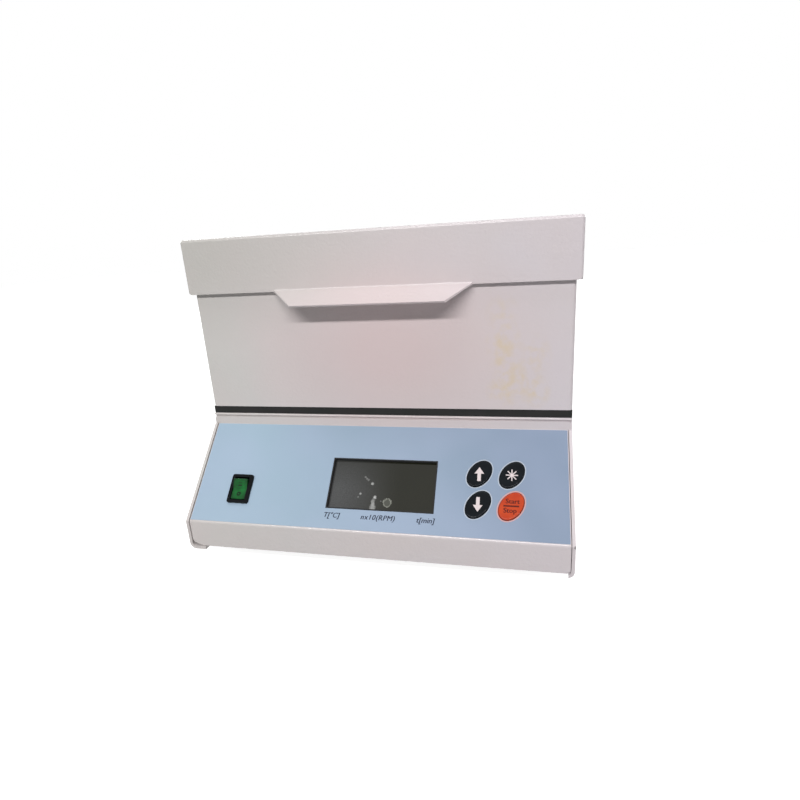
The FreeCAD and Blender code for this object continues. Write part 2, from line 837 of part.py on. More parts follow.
def display():
    """Window, black gasket and display module, stacked behind the console's opening."""
    lap_xs = (window_xs[0] - s.window_lap, window_xs[1] + s.window_lap)
    lap_ys = (window_ys[0] - s.window_lap, window_ys[1] + s.window_lap)
    gasket_back = -s.console_sheet - s.gasket_thickness
    window_back = gasket_back - s.window_thickness
    pane_xs = (window_xs[0] + s.gasket_lip, window_xs[1] - s.gasket_lip)
    pane_ys = (window_ys[0] + s.gasket_lip, window_ys[1] - s.gasket_lip)
    gasket = cut("window_gasket",
                 fuse("gasket_solid",
                      box("gasket_blank", lap_xs, lap_ys, (gasket_back, -s.console_sheet)),
                      box("gasket_lining", window_xs, window_ys, (gasket_back, s.film_thickness))),
                 box("gasket_hole", pane_xs, pane_ys, (gasket_back - 1, 1)))
    window = group("display_window", [box("window_pane", lap_xs, lap_ys, (window_back, gasket_back))])
    half_width, half_height = s.display_width / 2, s.display_height / 2
    module = box("display_block", (s.window_x - half_width, s.window_x + half_width),
                 (-s.window_down - half_height, half_height - s.window_down),
                 (window_back - s.display_thickness, window_back))
    for piece in (gasket, window, group("display_module", [module])):
        keep(on_slope(piece))


def control_board():
    """Board behind the slope with its posts, and the four key switches that stand on it."""
    board_top = -s.board_depth
    board_back = board_top - s.board_thickness
    ys = (-s.board_down - s.board_height / 2, s.board_height / 2 - s.board_down)
    board = box("board_blank", x_board, ys, (board_back, board_top))
    keep(on_slope(group("control_board", [board])))
    posts = [rod(f"board_post_{x_index}_{y_index}", "Z", (x, y, board_top),
                 s.board_depth - s.console_sheet, s.board_post_radius)
             for x_index, x in enumerate((x_board[0] + s.board_post_inset, x_board[1] - s.board_post_inset))
             for y_index, y in enumerate((ys[0] + s.board_post_inset, ys[1] - s.board_post_inset))]
    spacers.append(on_slope(group("board_posts", posts)))
    switches = []
    for name, (x, y) in key_centres.items():
        half = s.tact_width / 2
        case = box(f"{name}_tact", (x - half, x + half), (y - half, y + half),
                   (board_top, board_top + s.tact_height))
        button = rod(f"{name}_tact_button", "Z", (x, y, board_top + s.tact_height),
                     s.tact_button_height, s.tact_button_radius)
        switches.append(fuse(f"{name}_tact_switch", case, button))
    keep(on_slope(group("key_switches", switches)))


def keys():
    """Oval caps with a retaining flange under the sheet and a stem down to the key switch."""
    flange_top = -s.console_sheet - s.seat_gap
    flange_bottom = flange_top - s.key_flange_thickness
    top = s.film_thickness + s.key_proud
    stem_bottom = s.tact_height + s.tact_button_height + s.key_travel + s.stop_gap - s.board_depth
    for name, (x, y) in key_centres.items():
        cap = oval(f"{name}_cap", x, y, flange_bottom, top - flange_bottom,
                   s.key_long_radius, s.key_short_radius)
        rounded = soften(f"{name}_rounded", cap, s.key_rounding,
                         lambda edge: edge.BoundBox.ZMin > 0 and edge.BoundBox.ZLength < TOUCH)
        collar = oval(f"{name}_collar", x, y, flange_bottom, s.key_flange_thickness,
                      s.key_long_radius + s.key_flange_lap, s.key_short_radius + s.key_flange_lap)
        stem = rod(f"{name}_stem", "Z", (x, y, stem_bottom), flange_bottom - stem_bottom,
                   s.key_stem_radius)
        keep(on_slope(fuse(name, rounded, collar, stem)))


def rocker_switch():
    """Snap-in housing with terminals, and the rocker resting with its lower end pressed."""
    x, y = x_rocker, -s.rocker_down

    def centred(name, width, height, low, high):
        return box(name, (x - width / 2, x + width / 2), (y - height / 2, y + height / 2), (low, high))

    film = s.film_thickness
    bezel = centred("bezel", s.bezel_width, s.bezel_height, film, film + s.bezel_thickness)
    bezel = soften("bezel_cornered", bezel, s.bezel_corner, lambda edge: runs_along(edge, "Z"))
    bezel = soften("bezel_rounded", bezel, s.bezel_edge,
                   lambda edge: edge.BoundBox.ZMin > number(film + s.bezel_thickness) - TOUCH)
    case = centred("switch_case", s.rocker_body_width, s.rocker_body_height, -s.rocker_body_depth, film)
    terminals = []
    for index in range(3):
        rise = y + (index - 1) * s.rocker_body_height / 3
        terminals.append(box(f"terminal_{index}", (x - s.terminal_width / 2, x + s.terminal_width / 2),
                             (rise - s.terminal_thickness / 2, rise + s.terminal_thickness / 2),
                             (-s.rocker_body_depth - s.terminal_length, -s.rocker_body_depth)))
    well = centred("rocker_well", s.rocker_well_width, s.rocker_well_height,
                   -s.rocker_well_depth, film + s.bezel_thickness + 1)
    pivot_half = s.rocker_width / 2 + s.rocker_pivot_length
    axle_hole = rod("axle_hole", "X", (x - pivot_half - s.running_clearance, y, -s.rocker_pivot_depth),
                    (pivot_half + s.running_clearance) * 2, s.rocker_pivot_radius + s.running_clearance)
    keep(on_slope(cut("rocker_housing", fuse("switch_body", bezel, case, *terminals), well, axle_hole)))

    body = new_body("rocker_blank")
    section = sketch(body, "YZ_Plane")
    half = s.rocker_half_length
    outline(section, [
        (-half, s.rocker_end_height), (0, s.rocker_middle_height), (half, s.rocker_end_height),
        (half - s.rocker_draft, -s.rocker_skirt), (s.rocker_draft - half, -s.rocker_skirt),
    ])
    block = pad(body, section, s.rocker_width, symmetric=True)
    bend(body, block, s.rocker_edge, "X", (-half, s.rocker_end_height), (half, s.rocker_end_height))
    axle = rod("rocker_axle", "X", (-pivot_half, 0, 0), pivot_half * 2, s.rocker_pivot_radius)
    rocker = fuse("rocker", body, axle)
    on_slope(rocker, extra_turn=s.rocker_tilt)
    pivot_y, pivot_z = slope_point(y, -s.rocker_pivot_depth)
    keep(place(rocker, x, pivot_y, pivot_z))


def console_fasteners():
    """Spacers between pan and console, and the screws of console, deck and the hinges' body side."""
    screws = []
    for index, (x, y) in enumerate(spacer_places):
        spacer = ring(f"spacer_{index}", s.screw_radius + s.screw_clearance, s.screw_head_radius + 1,
                      z_floor, z_face)
        spacers.append(place(spacer, x, y, 0))
        screws.append(screw(f"spacer_screw_{index}", "Z", (x, y, z_pan), 1,
                            z_face + s.console_sheet + s.screw_grip - z_pan))
    for index, y in enumerate(side_screw_ys):
        for sign in (-1, 1):
            screws.append(screw(f"side_screw_{index}_{sign + 1}", "X",
                                (sign * x_side, y, side_screw_z), -sign,
                                s.pan_sheet + s.deck_sheet + s.screw_grip))
    for sign in (-1, 1):
        for side in hinge_screw_sides:
            x = sign * x_hinge + side * s.hinge_screw_spacing / 2
            screws.append(screw(f"hinge_screw_{sign + 1}_{side + 1}", "Y", (x, y_body_leaf, z_body_screws),
                                -1, y_body_leaf - y_back + s.housing_sheet))
    keep(group("case_screws", screws))


# Deck, isolator and chamber

post_places = [(sign_x * x_post, y_drive + sign_y * half_depth_posts)
               for sign_y in (-1, 1) for sign_x in (-1, 1)]


def drive_holes(name, low, high, clearance):
    """Solids that clear the drive shaft and the four idler posts through a layer."""
    shaft = rod(f"{name}_shaft", "Z", (0, y_drive, low), high - low, s.seal_radius)
    return [shaft] + [
        rod(f"{name}_post_{index}", "Z", (x, y, low), high - low, s.post_radius + clearance)
        for index, (x, y) in enumerate(post_places)]


def top_deck():
    """Deck plate with its four flanges turned down inside the cheeks."""
    body = new_body("deck_blank")
    plate = sketch(body, "XY_Plane", outward=z_deck)
    rectangle(plate, (-x_side, x_side), (y_flange, y_back))
    blank = pad(body, plate, s.deck_sheet)
    bend(body, blank, s.deck_edge, "X", (y_flange, z_deck_top))
    y_flange_in = y_flange + s.console_sheet
    y_rear_in = y_back - s.rear_sheet - s.rear_gap
    flanges = sketch(body, "XY_Plane", outward=z_deck)
    rectangle(flanges, (-x_cheek, x_cheek), (y_flange_in, y_rear_in))
    rectangle(flanges, (-x_cheek + s.deck_sheet, x_cheek - s.deck_sheet),
              (y_flange_in + s.deck_sheet, y_rear_in - s.deck_sheet))
    pad(body, flanges, s.deck_flange, backwards=True)
    holes = [rod("deck_shaft", "Z", (0, y_drive, z_deck - 1), s.deck_sheet + 2, s.seal_radius)]
    holes += [rod(f"deck_side_hole_{index}", "X", (-x_side - 1, y, side_screw_z), s.width + 2,
                  s.screw_radius + s.screw_clearance) for index, y in enumerate(side_screw_ys)]
    return keep(cut("top_deck", body, *holes))


def chamber():
    """Isolator plate, painted housing, insulation and stainless liner around the chamber."""
    plate = box("isolator_blank", (-x_side, x_side), (y_panel, y_back), (z_deck_top, z_chamber))
    keep(cut("isolator_plate", plate, *drive_holes("isolator", z_deck_top - 1, z_chamber + 1, 0)))

    body = new_body("housing_blank")
    footprint = sketch(body, "XY_Plane", outward=z_chamber)
    rectangle(footprint, (-x_side, x_side), (y_panel, y_back))
    block = pad(body, footprint, s.chamber_height)
    bend(body, block, s.housing_bend, "Z", (-x_side, y_panel), (x_side, y_panel),
         (-x_side, y_back), (x_side, y_back))
    x_in, y_in = x_side - s.housing_sheet, y_panel + s.housing_sheet
    y_in_back = y_back - s.housing_sheet
    hollow = sketch(body, "XY_Plane", outward=z_chamber)
    rectangle(hollow, (-x_in, x_in), (y_in, y_in_back))
    pocket(body, hollow, s.chamber_height - s.housing_sheet, backwards=True)
    mouth = sketch(body, "XY_Plane", outward=z_rim)
    rectangle(mouth, (-x_side + s.housing_rim, x_side - s.housing_rim),
              (y_panel + s.housing_rim, y_back - s.housing_rim))
    pocket(body, mouth, s.housing_sheet)
    screw_ways = hinge_screw_holes("housing_hole", y_back - s.housing_sheet - 1, s.housing_sheet + 2,
                                   z_body_screws)
    keep(cut("chamber_housing", body, *screw_ways))

    liner_out_x, liner_front_out = x_liner + s.liner_sheet, y_liner_front - s.liner_sheet
    liner_back_out = y_liner_back + s.liner_sheet
    floor_board = box("floor_board", (-x_in, x_in), (y_in, y_in_back), (z_chamber, z_liner))
    heater_ways = [rod(f"foam_heater_{sign + 1}", "Z",
                       (sign * s.heater_half_width, y_heater, z_chamber - 1),
                       s.floor_insulation + 2, s.heater_radius + s.seat_gap) for sign in (-1, 1)]
    floor_drilled = cut("floor_board_drilled", floor_board, *heater_ways,
                        *drive_holes("foam", z_chamber - 1, z_liner + 1, s.post_hole_clearance))
    low, high = z_liner + s.board_gap, z_rim - s.housing_sheet
    boards = [box("front_board", (-x_in, x_in), (y_in, liner_front_out), (low, high)),
              box("back_board", (-x_in, x_in), (liner_back_out, y_in_back), (low, high))]
    boards += [box(f"side_board_{index}", ends,
                   (liner_front_out + s.board_gap, liner_back_out - s.board_gap), (low, high))
               for index, ends in enumerate(((-x_in, -liner_out_x), (liner_out_x, x_in)))]
    keep(group("chamber_insulation", [floor_drilled, *boards]))

    liner = new_body("liner_blank")
    tub = sketch(liner, "XY_Plane", outward=z_liner)
    rectangle(tub, (-liner_out_x, liner_out_x), (liner_front_out, liner_back_out))
    tub_block = pad(liner, tub, z_liner_top - z_liner)
    bend(liner, tub_block, s.liner_corner, "Z", (-liner_out_x, liner_front_out),
         (liner_out_x, liner_front_out), (-liner_out_x, liner_back_out), (liner_out_x, liner_back_out))
    flange = sketch(liner, "XY_Plane", outward=z_rim)
    edge = s.liner_flange_inset
    rectangle(flange, (-x_side + edge, x_side - edge), (y_panel + edge, y_back - edge))
    pad(liner, flange, s.liner_sheet)
    inside = new_body("liner_inside")
    space = sketch(inside, "XY_Plane", outward=z_inside)
    rectangle(space, (-x_liner, x_liner), (y_liner_front, y_liner_back))
    space_block = pad(inside, space, z_liner_top + 1 - z_inside)
    bend(inside, space_block, s.liner_corner - s.liner_sheet, "Z", (-x_liner, y_liner_front),
         (x_liner, y_liner_front), (-x_liner, y_liner_back), (x_liner, y_liner_back))
    heater_holes = [rod(f"liner_heater_{sign + 1}", "Z",
                        (sign * s.heater_half_width, y_heater, z_liner - 1),
                        s.liner_sheet + 2, s.heater_radius + s.seat_gap) for sign in (-1, 1)]
    keep(cut("chamber_liner", liner, inside, *heater_holes,
             *drive_holes("liner", z_liner - 1, z_inside + 1, s.post_hole_clearance)))


def fan_room():
    """Baffle with its grille, fan, heater and temperature sensor at the back of the chamber."""
    plate = box("baffle_plate", (-x_liner, x_liner), (y_baffle, y_baffle + s.baffle_sheet),
                (z_inside, z_liner_top - s.baffle_top_gap))
    holes = []
    for circle_number in range(GRILLE_CIRCLES):
        count = max(1, 6 * circle_number)
        for step in range(count):
            spoke = FreeCAD.Rotation(V(0, 1, 0), 360 * step / count).multVec(V(circle_number, 0, 0))
            holes.append(rod(f"grille_{len(holes)}", "Y",
                             (spoke.x * s.grille_pitch, y_baffle - 1, z_fan + spoke.z * s.grille_pitch),
                             s.baffle_sheet + 2, s.grille_hole_radius))
    for sign in (-1, 1):
        for step in range(RETURN_SLOTS):
            low = z_inside + s.return_slot_rise + step * s.return_slot_pitch
            outer_end = x_liner - s.return_slot_inset
            ends = sorted((sign * outer_end, sign * (outer_end - s.return_slot_length)), key=number)
            holes.append(box(f"return_slot_{len(holes)}", ends,
                             (y_baffle - 1, y_baffle + s.baffle_sheet + 1),
                             (low, low + s.return_slot_height)))
    keep(cut("fan_baffle", plate, *holes))

    fan_front = y_baffle + s.baffle_sheet
    fan_back = fan_front + s.fan_depth
    half = s.fan_width / 2
    frame = box("fan_block", (-half, half), (fan_front, fan_back), (z_fan - half, z_fan + half))
    bore = rod("fan_bore_tool", "Y", (0, fan_front - 1, z_fan), s.fan_depth + 2, s.fan_bore)
    spider_front = fan_back - s.fan_spider_thickness
    hub = rod("spider_hub", "Y", (0, spider_front, z_fan), s.fan_spider_thickness, s.fan_hub_radius)
    strut = s.fan_strut_width / 2
    struts = [box("strut_level", (-half + 1, half - 1), (spider_front, fan_back),
                  (z_fan - strut, z_fan + strut)),
              box("strut_upright", (-strut, strut), (spider_front, fan_back),
                  (z_fan - half + 1, z_fan + half - 1))]
    pin_hole = rod("fan_pin_hole", "Y", (0, spider_front - 1, z_fan), s.fan_spider_thickness + 2,
                   s.fan_pin_radius + s.running_clearance)
    keep(cut("fan_frame", fuse("fan_frame_solid", cut("fan_shroud", frame, bore), hub, *struts), pin_hole))

    rotor_front = fan_front + s.fan_front_gap
    rotor_hub = rod("rotor_hub", "Y", (0, rotor_front, z_fan), s.fan_hub_depth, s.fan_hub_radius)
    pin = rod("rotor_pin", "Y", (0, rotor_front + 1, z_fan), fan_back - rotor_front - 1, s.fan_pin_radius)
    blades = []
    for step in range(FAN_BLADES):
        blade = doc.addObject("Part::Box", f"blade_{step}")
        bind(blade, Length=s.fan_tip_radius, Width=s.blade_chord, Height=s.blade_thickness)
        root = V(number(s.fan_hub_radius) - 2, -number(s.blade_chord) / 2, -number(s.blade_thickness) / 2)
        pitch = FreeCAD.Placement(root, FreeCAD.Rotation())
        tilt = FreeCAD.Placement(V(), FreeCAD.Rotation(V(1, 0, 0), BLADE_ANGLE))
        spin = FreeCAD.Placement(V(), FreeCAD.Rotation(V(0, 1, 0), 360 * step / FAN_BLADES))
        blade.Placement = spin.multiply(tilt).multiply(pitch)
        blades.append(blade)
    blade_set = group("blade_set", blades)
    place(blade_set, 0, rotor_front + s.fan_hub_depth / 2, z_fan)
    disc = rod("rotor_disc", "Y", (0, rotor_front, z_fan), s.fan_hub_depth, s.fan_tip_radius)
    trimmed = doc.addObject("Part::Common", "trimmed_blades")
    trimmed.Base = disc
    trimmed.Tool = blade_set
    keep(fuse("fan_rotor", rotor_hub, pin, trimmed))

    bend_radius = s.heater_bend
    z_top = z_inside + s.heater_height
    leg_bottom = z_chamber + s.heater_foot_gap
    legs = []
    for sign, turn in ((-1, 180), (1, 0)):
        x = sign * s.heater_half_width
        legs.append(rod(f"heater_leg_{turn}", "Z", (x, y_heater, leg_bottom),
                        z_top - bend_radius - leg_bottom, s.heater_radius))
        corner = doc.addObject("Part::Torus", f"heater_corner_{turn}")
        upright = FreeCAD.Rotation(V(1, 0, 0), 90)
        corner.Placement = FreeCAD.Placement(V(), FreeCAD.Rotation(V(0, 1, 0), -90 if turn else 0) * upright)
        corner.Angle3 = 90
        bind(corner, Radius1=bend_radius, Radius2=s.heater_radius)
        legs.append(place(corner, x - sign * bend_radius, y_heater, z_top - bend_radius))
        nut = rod(f"heater_nut_{turn}", "Z", (x, y_heater, z_inside), s.heater_nut_height,
                  s.heater_nut_radius)
        legs.append(nut)
    span = rod("heater_span", "X", (-s.heater_half_width + bend_radius, y_heater, z_top),
               (s.heater_half_width - bend_radius) * 2, s.heater_radius)
    keep(fuse("heater_element", span, *legs))

    x_probe = x_liner - s.probe_side_gap
    clip_top, half_clip = z_liner_top - s.probe_drop, s.probe_clip_width / 2
    clip = box("probe_clip", (x_probe - half_clip, x_probe + half_clip),
               (y_baffle - s.probe_clip_depth, y_baffle), (clip_top - s.probe_clip_depth, clip_top))
    rod_part = rod("probe_rod", "Z", (x_probe, y_baffle - s.probe_clip_depth / 2, clip_top - s.probe_length),
                   s.probe_length + s.probe_radius, s.probe_radius)
    keep(fuse("temperature_sensor", clip, rod_part))


# Lid and hinges

z_gasket = z_liner_top + s.lid_gasket_gap
z_lid_liner = z_gasket + s.lid_gasket_height
z_lid_fill = z_lid_liner + s.lid_liner_sheet


def lid():
    """Folded lid with its pull lip, and the liner, insulation and gasket inside it."""
    body = new_body("lid_blank")
    footprint = sketch(body, "XY_Plane", outward=z_skirt)
    rectangle(footprint, (-x_lid, x_lid), (y_lid_front, y_lid_back))
    block = pad(body, footprint, s.lid_height)
    sides = bend(body, block, s.lid_fold, "Z", (-x_lid, y_lid_front), (x_lid, y_lid_front),
                 (-x_lid, y_lid_back), (x_lid, y_lid_back))
    doc.recompute()
    top = body.newObject("PartDesign::Fillet", "lid_top_fold")
    top.Base = (sides, [f"Edge{index}" for index, edge in enumerate(sides.Shape.Edges, 1)
                        if edge.BoundBox.ZMin > number(z_lid) - TOUCH])
    bind(top, Radius=s.lid_fold)
    hollow = sketch(body, "XY_Plane", outward=z_skirt)
    rectangle(hollow, (-x_lid + s.lid_sheet, x_lid - s.lid_sheet),
              (y_lid_front + s.lid_sheet, y_lid_back - s.lid_sheet))
    pocket(body, hollow, s.lid_height - s.lid_sheet, backwards=True)
    lip_length = Size("sqrt(sizes.lip_reach ^ 2 + sizes.lip_drop ^ 2)")
    drop_y = s.lid_sheet * s.lip_drop / lip_length
    drop_z = s.lid_sheet * s.lip_reach / lip_length
    lip = sketch(body, "YZ_Plane")
    outline(lip, [
        (y_lid_front + s.lid_sheet, z_skirt), (y_lid_front, z_skirt),
        (y_lid_front - s.lip_reach + drop_y, z_skirt - s.lip_drop),
        (y_lid_front - s.lip_reach, z_skirt - s.lip_drop + drop_z),
        (y_lid_front, z_skirt + drop_z), (y_lid_front + s.lid_sheet, z_skirt + drop_z),
    ])
    tongue = pad(body, lip, s.lip_base_half * 2, symmetric=True)
    bend(body, tongue, s.lip_bend, "X", (y_lid_front, z_skirt + drop_z))
    trims = sketch(body, "XY_Plane", outward=z_skirt + s.lid_height / 2)
    y_tip = y_lid_front - s.lip_reach
    for sign in (-1, 1):
        outline(trims, [
            (sign * s.lip_base_half, y_lid_front), (sign * s.lip_tip_half, y_tip),
            (sign * s.lip_tip_half, y_tip - 1), (sign * (s.lip_base_half + 1), y_tip - 1),
            (sign * (s.lip_base_half + 1), y_lid_front),
        ])
    pocket(body, trims, s.lid_height * 2, symmetric=True)

    trimmers = []
    r = s.lid_corner
    for sign in (-1, 1):
        low_x, high_x = sorted((sign * x_lid, sign * (x_lid - r)), key=number)
        corner = box(f"lid_corner_{sign + 1}", (low_x, high_x), (y_lid_front, y_lid_front + r),
                     (z_skirt, z_skirt + r))
        keeper = rod(f"lid_corner_round_{sign + 1}", "Y", (sign * (x_lid - r), y_lid_front, z_skirt + r),
                     r, r)
        trimmers.append(cut(f"lid_corner_trim_{sign + 1}", corner, keeper))
    trimmers += hinge_screw_holes("lid_hinge_hole", y_lid_back - s.lid_sheet - 1, 3, z_lid_screws)
    keep(cut("lid_shell", body, *trimmers))

    inset = s.lid_liner_inset
    fill_xs = (-x_side + inset, x_side - inset)
    fill_ys = (y_panel + inset, y_back - inset)
    plate = box("lid_liner_plate", fill_xs, fill_ys, (z_lid_liner, z_lid_fill))
    keep(group("lid_liner", [soften("lid_liner_rounded", plate, s.liner_corner,
                                    lambda edge: runs_along(edge, "Z"))]))
    edge = s.lid_sheet
    z_top = z_lid - s.lid_sheet
    foam = box("lid_foam", (-x_lid + edge, x_lid - edge), (y_lid_front + edge, y_lid_back - edge),
               (z_lid_fill, z_top))
    keep(group("lid_insulation", [foam]))
    near, far = s.lid_gasket_inset, s.lid_gasket_inset + s.lid_gasket_width
    outer = box("lid_gasket_outer", (-x_side + near, x_side - near), (y_panel + near, y_back - near),
                (z_gasket, z_lid_liner))
    inner = box("lid_gasket_inner", (-x_side + far, x_side - far), (y_panel + far, y_back - far),
                (z_gasket - 1, z_lid_liner + 1))
    keep(cut("lid_gasket", outer, inner))


def hinge_screw_holes(name, start_y, length, z):
    """Holes along Y for the two screws of each hinge."""
    return [rod(f"{name}_{sign + 1}_{side + 1}", "Y",
                (sign * x_hinge + side * s.hinge_screw_spacing / 2, start_y, z),
                length, s.screw_radius + s.screw_clearance)
            for sign in (-1, 1) for side in hinge_screw_sides]


def hinges():
    """Two butt hinges behind the lid: body leaves, lid leaves, pins and screws."""
    radius, middle = s.knuckle_radius, s.hinge_middle_half
    body_leaves, lid_leaves, pins = [], [], []
    for sign in (-1, 1):
        x = sign * x_hinge
        tag = sign + 1
        half = s.hinge_half_length
        leaf = [box(f"body_leaf_{tag}", (x - half, x + half), (y_back, y_body_leaf),
                    (z_hinge - s.hinge_leaf_height, z_hinge))]
        for end in (-1, 1):
            low, high = sorted((x + end * half, x + end * (middle + s.hinge_side_gap)), key=number)
            leaf.append(rod(f"body_knuckle_{tag}_{end + 1}", "X", (low, y_hinge, z_hinge),
                            high - low, radius))
            leaf.append(box(f"body_web_{tag}_{end + 1}", (low, high),
                            (y_body_leaf - 1, y_hinge), (z_hinge - radius, z_hinge)))
        pin_hole = rod(f"body_pin_hole_{tag}", "X", (x - half - 1, y_hinge, z_hinge), half * 2 + 2,
                       s.hinge_pin_radius)
        body_leaves.append(cut(f"body_leaf_solid_{tag}", fuse(f"body_leaf_fused_{tag}", *leaf), pin_hole))

        z_leaf = z_hinge + radius + s.seat_gap * 2
        upper = box(f"lid_leaf_{tag}", (x - half, x + half), (y_lid_back, y_lid_back + s.hinge_leaf),
                    (z_leaf, z_leaf + s.hinge_leaf_height))
        stalk = box(f"lid_web_{tag}", (x - middle, x + middle), (y_lid_back, y_hinge),
                    (z_hinge, z_hinge + radius))
        stalk_up = box(f"lid_stalk_{tag}", (x - middle, x + middle),
                       (y_lid_back, y_lid_back + s.hinge_leaf), (z_hinge, z_leaf + 1))
        knuckle = rod(f"lid_knuckle_{tag}", "X", (x - middle, y_hinge, z_hinge), middle * 2, radius)
        lid_hole = rod(f"lid_pin_hole_{tag}", "X", (x - middle - 1, y_hinge, z_hinge), middle * 2 + 2,
                       s.hinge_pin_radius + s.running_clearance)
        lid_leaves.append(cut(f"lid_leaf_solid_{tag}",
                              fuse(f"lid_leaf_fused_{tag}", upper, stalk, stalk_up, knuckle), lid_hole))
        pins.append(rod(f"hinge_pin_{tag}", "X", (x - half, y_hinge, z_hinge), half * 2,
                        s.hinge_pin_radius))
    lid_outer = y_lid_back + s.hinge_leaf
    keep(cut("hinge_body_leaves", group("body_leaf_pair", body_leaves),
             *hinge_screw_holes("body_leaf_hole", y_back - 1, s.lid_overhang + 2, z_body_screws)))
    keep(cut("hinge_lid_leaves", group("lid_leaf_pair", lid_leaves),
             *hinge_screw_holes("lid_leaf_hole", y_lid_back - 1, s.hinge_leaf + 2, z_lid_screws)))
    keep(group("hinge_pins", pins))
    keep(group("lid_hinge_screws", [
        screw(f"lid_hinge_screw_{sign + 1}_{side + 1}", "Y",
              (sign * x_hinge + side * s.hinge_screw_spacing / 2, lid_outer, z_lid_screws), -1,
              s.hinge_leaf + s.lid_sheet + s.screw_grip)
        for sign in (-1, 1) for side in hinge_screw_sides]))


# Shaker: motor, eccentric shaft, idler cranks and platform

def drive():
    """Motor under the drive plate, its shaft with eccentric pin and counterweight, and the seal."""
    z_plate_bottom = z_deck - s.drive_plate_thickness
    reach = s.post_radius + s.drive_plate_margin
    half_width, half_depth = x_post + reach, half_depth_posts + reach
    plate = box("drive_plate_blank", (-half_width, half_width),
                (y_drive - half_depth, y_drive + half_depth), (z_plate_bottom, z_deck))
    hole = rod("drive_plate_hole", "Z", (0, y_drive, z_plate_bottom - 1),
               s.drive_plate_thickness + 2, s.seal_radius)
    keep(cut("drive_plate", plate, hole))

    shaft_way = s.shaft_radius + s.seat_gap * 2
    height = s.motor_height
    inner_low = s.motor_wall + s.bearing_height
    inner_high = height - s.motor_wall - s.bearing_height
    case = turned("drive_motor", [
        (shaft_way, 0), (s.motor_radius, 0), (s.motor_radius, height), (shaft_way, height),
        (shaft_way, height - s.motor_wall), (s.bearing_radius, height - s.motor_wall),
        (s.bearing_radius, inner_high), (s.motor_radius - s.motor_wall, inner_high),
        (s.motor_radius - s.motor_wall, inner_low), (s.bearing_radius, inner_low),
        (s.bearing_radius, s.motor_wall), (shaft_way, s.motor_wall),
    ])
    z_motor = z_plate_bottom - s.motor_height
    keep(place(case, 0, y_drive, z_motor))
    bore = s.shaft_radius + s.running_clearance
    rings = []
    for tag, low in (("lower", s.motor_wall), ("upper", inner_high)):
        bearing = ring(f"shaft_bearing_{tag}", bore, s.bearing_radius, low, low + s.bearing_height)
        rings.append(place(bearing, 0, y_drive, z_motor))
    keep(group("shaft_bearings", rings))
    rotor_low = z_motor + (height - s.rotor_height) / 2

    seal = turned("shaft_seal", [
        (bore, z_liner - s.seal_depth), (s.seal_radius, z_liner - s.seal_depth),
        (s.seal_radius, z_inside), (s.seal_flange_radius, z_inside),
        (s.seal_flange_radius, z_inside + s.seal_flange_height), (bore, z_inside + s.seal_flange_height),
    ])
    keep(place(seal, 0, y_drive, 0))

    z_shaft_bottom = z_motor + s.motor_wall
    z_hub_top = z_hub + s.hub_height
    z_pin_top = z_plate_top - s.seat_gap
    spindle = rod("spindle", "Z", (0, y_drive, z_shaft_bottom), z_hub - z_shaft_bottom, s.shaft_radius)
    hub = rod("crank_hub", "Z", (0, y_drive, z_hub), s.hub_height, s.hub_radius)
    pin = rod("crank_pin", "Z", (s.orbit_radius, y_drive, z_hub_top), z_pin_top - z_hub_top,
              s.crank_pin_radius)
    rotor = rod("motor_rotor", "Z", (0, y_drive, rotor_low), s.rotor_height, s.rotor_radius)
    keep(fuse("eccentric_shaft", spindle, rotor, hub, pin))
    disc = ring("weight_disc", s.hub_radius, s.counterweight_radius, z_hub, z_hub_top)
    place(disc, 0, y_drive, 0)
    keeper = box("weight_keeper", (-s.counterweight_radius, -s.hub_radius / 4),
                 (y_drive - s.counterweight_radius, y_drive + s.counterweight_radius), (z_hub, z_hub_top))
    weight = doc.addObject("Part::Common", "counterweight")
    weight.Base = disc
    weight.Tool = keeper
    keep(weight)


def idlers():
    """Four posts on the deck, their bearings and the cranks that carry the platform's corners."""
    seat = s.idler_bearing_radius
    journal = s.idler_journal_radius
    z_bearing = z_post_top - s.idler_bearing_height
    posts, bearings = [], []
    for index, (x, y) in enumerate(post_places, 1):
        post = turned(f"idler_post_{index}", [
            (0, z_deck_top), (s.post_radius, z_deck_top), (s.post_radius, z_post_top),
            (seat, z_post_top), (seat, z_bearing), (journal + s.idler_well_gap, z_bearing),
            (journal + s.idler_well_gap, z_bearing - s.idler_well_depth),
            (0, z_bearing - s.idler_well_depth),
        ])
        posts.append(place(post, x, y, 0))
        bearing = ring(f"idler_bearing_{index}", journal + s.running_clearance, seat,
                       z_bearing, z_post_top)
        bearings.append(place(bearing, x, y, 0))
        z_journal = z_bearing - s.idler_journal_length
        lower = rod(f"idler_journal_{index}", "Z", (x, y, z_journal), z_disc - z_journal, journal)
        disc = rod(f"idler_disc_{index}", "Z", (x, y, z_disc), s.idler_disc_height, s.idler_disc_radius)
        upper = rod(f"idler_pin_{index}", "Z", (x + s.orbit_radius, y, z_disc_top),
                    z_plate_top - s.seat_gap - z_disc_top, s.idler_pin_radius)
        keep(fuse(f"idler_crank_{index}", lower, disc, upper))
    keep(group("idler_posts", posts))
    keep(group("idler_bearings", bearings))


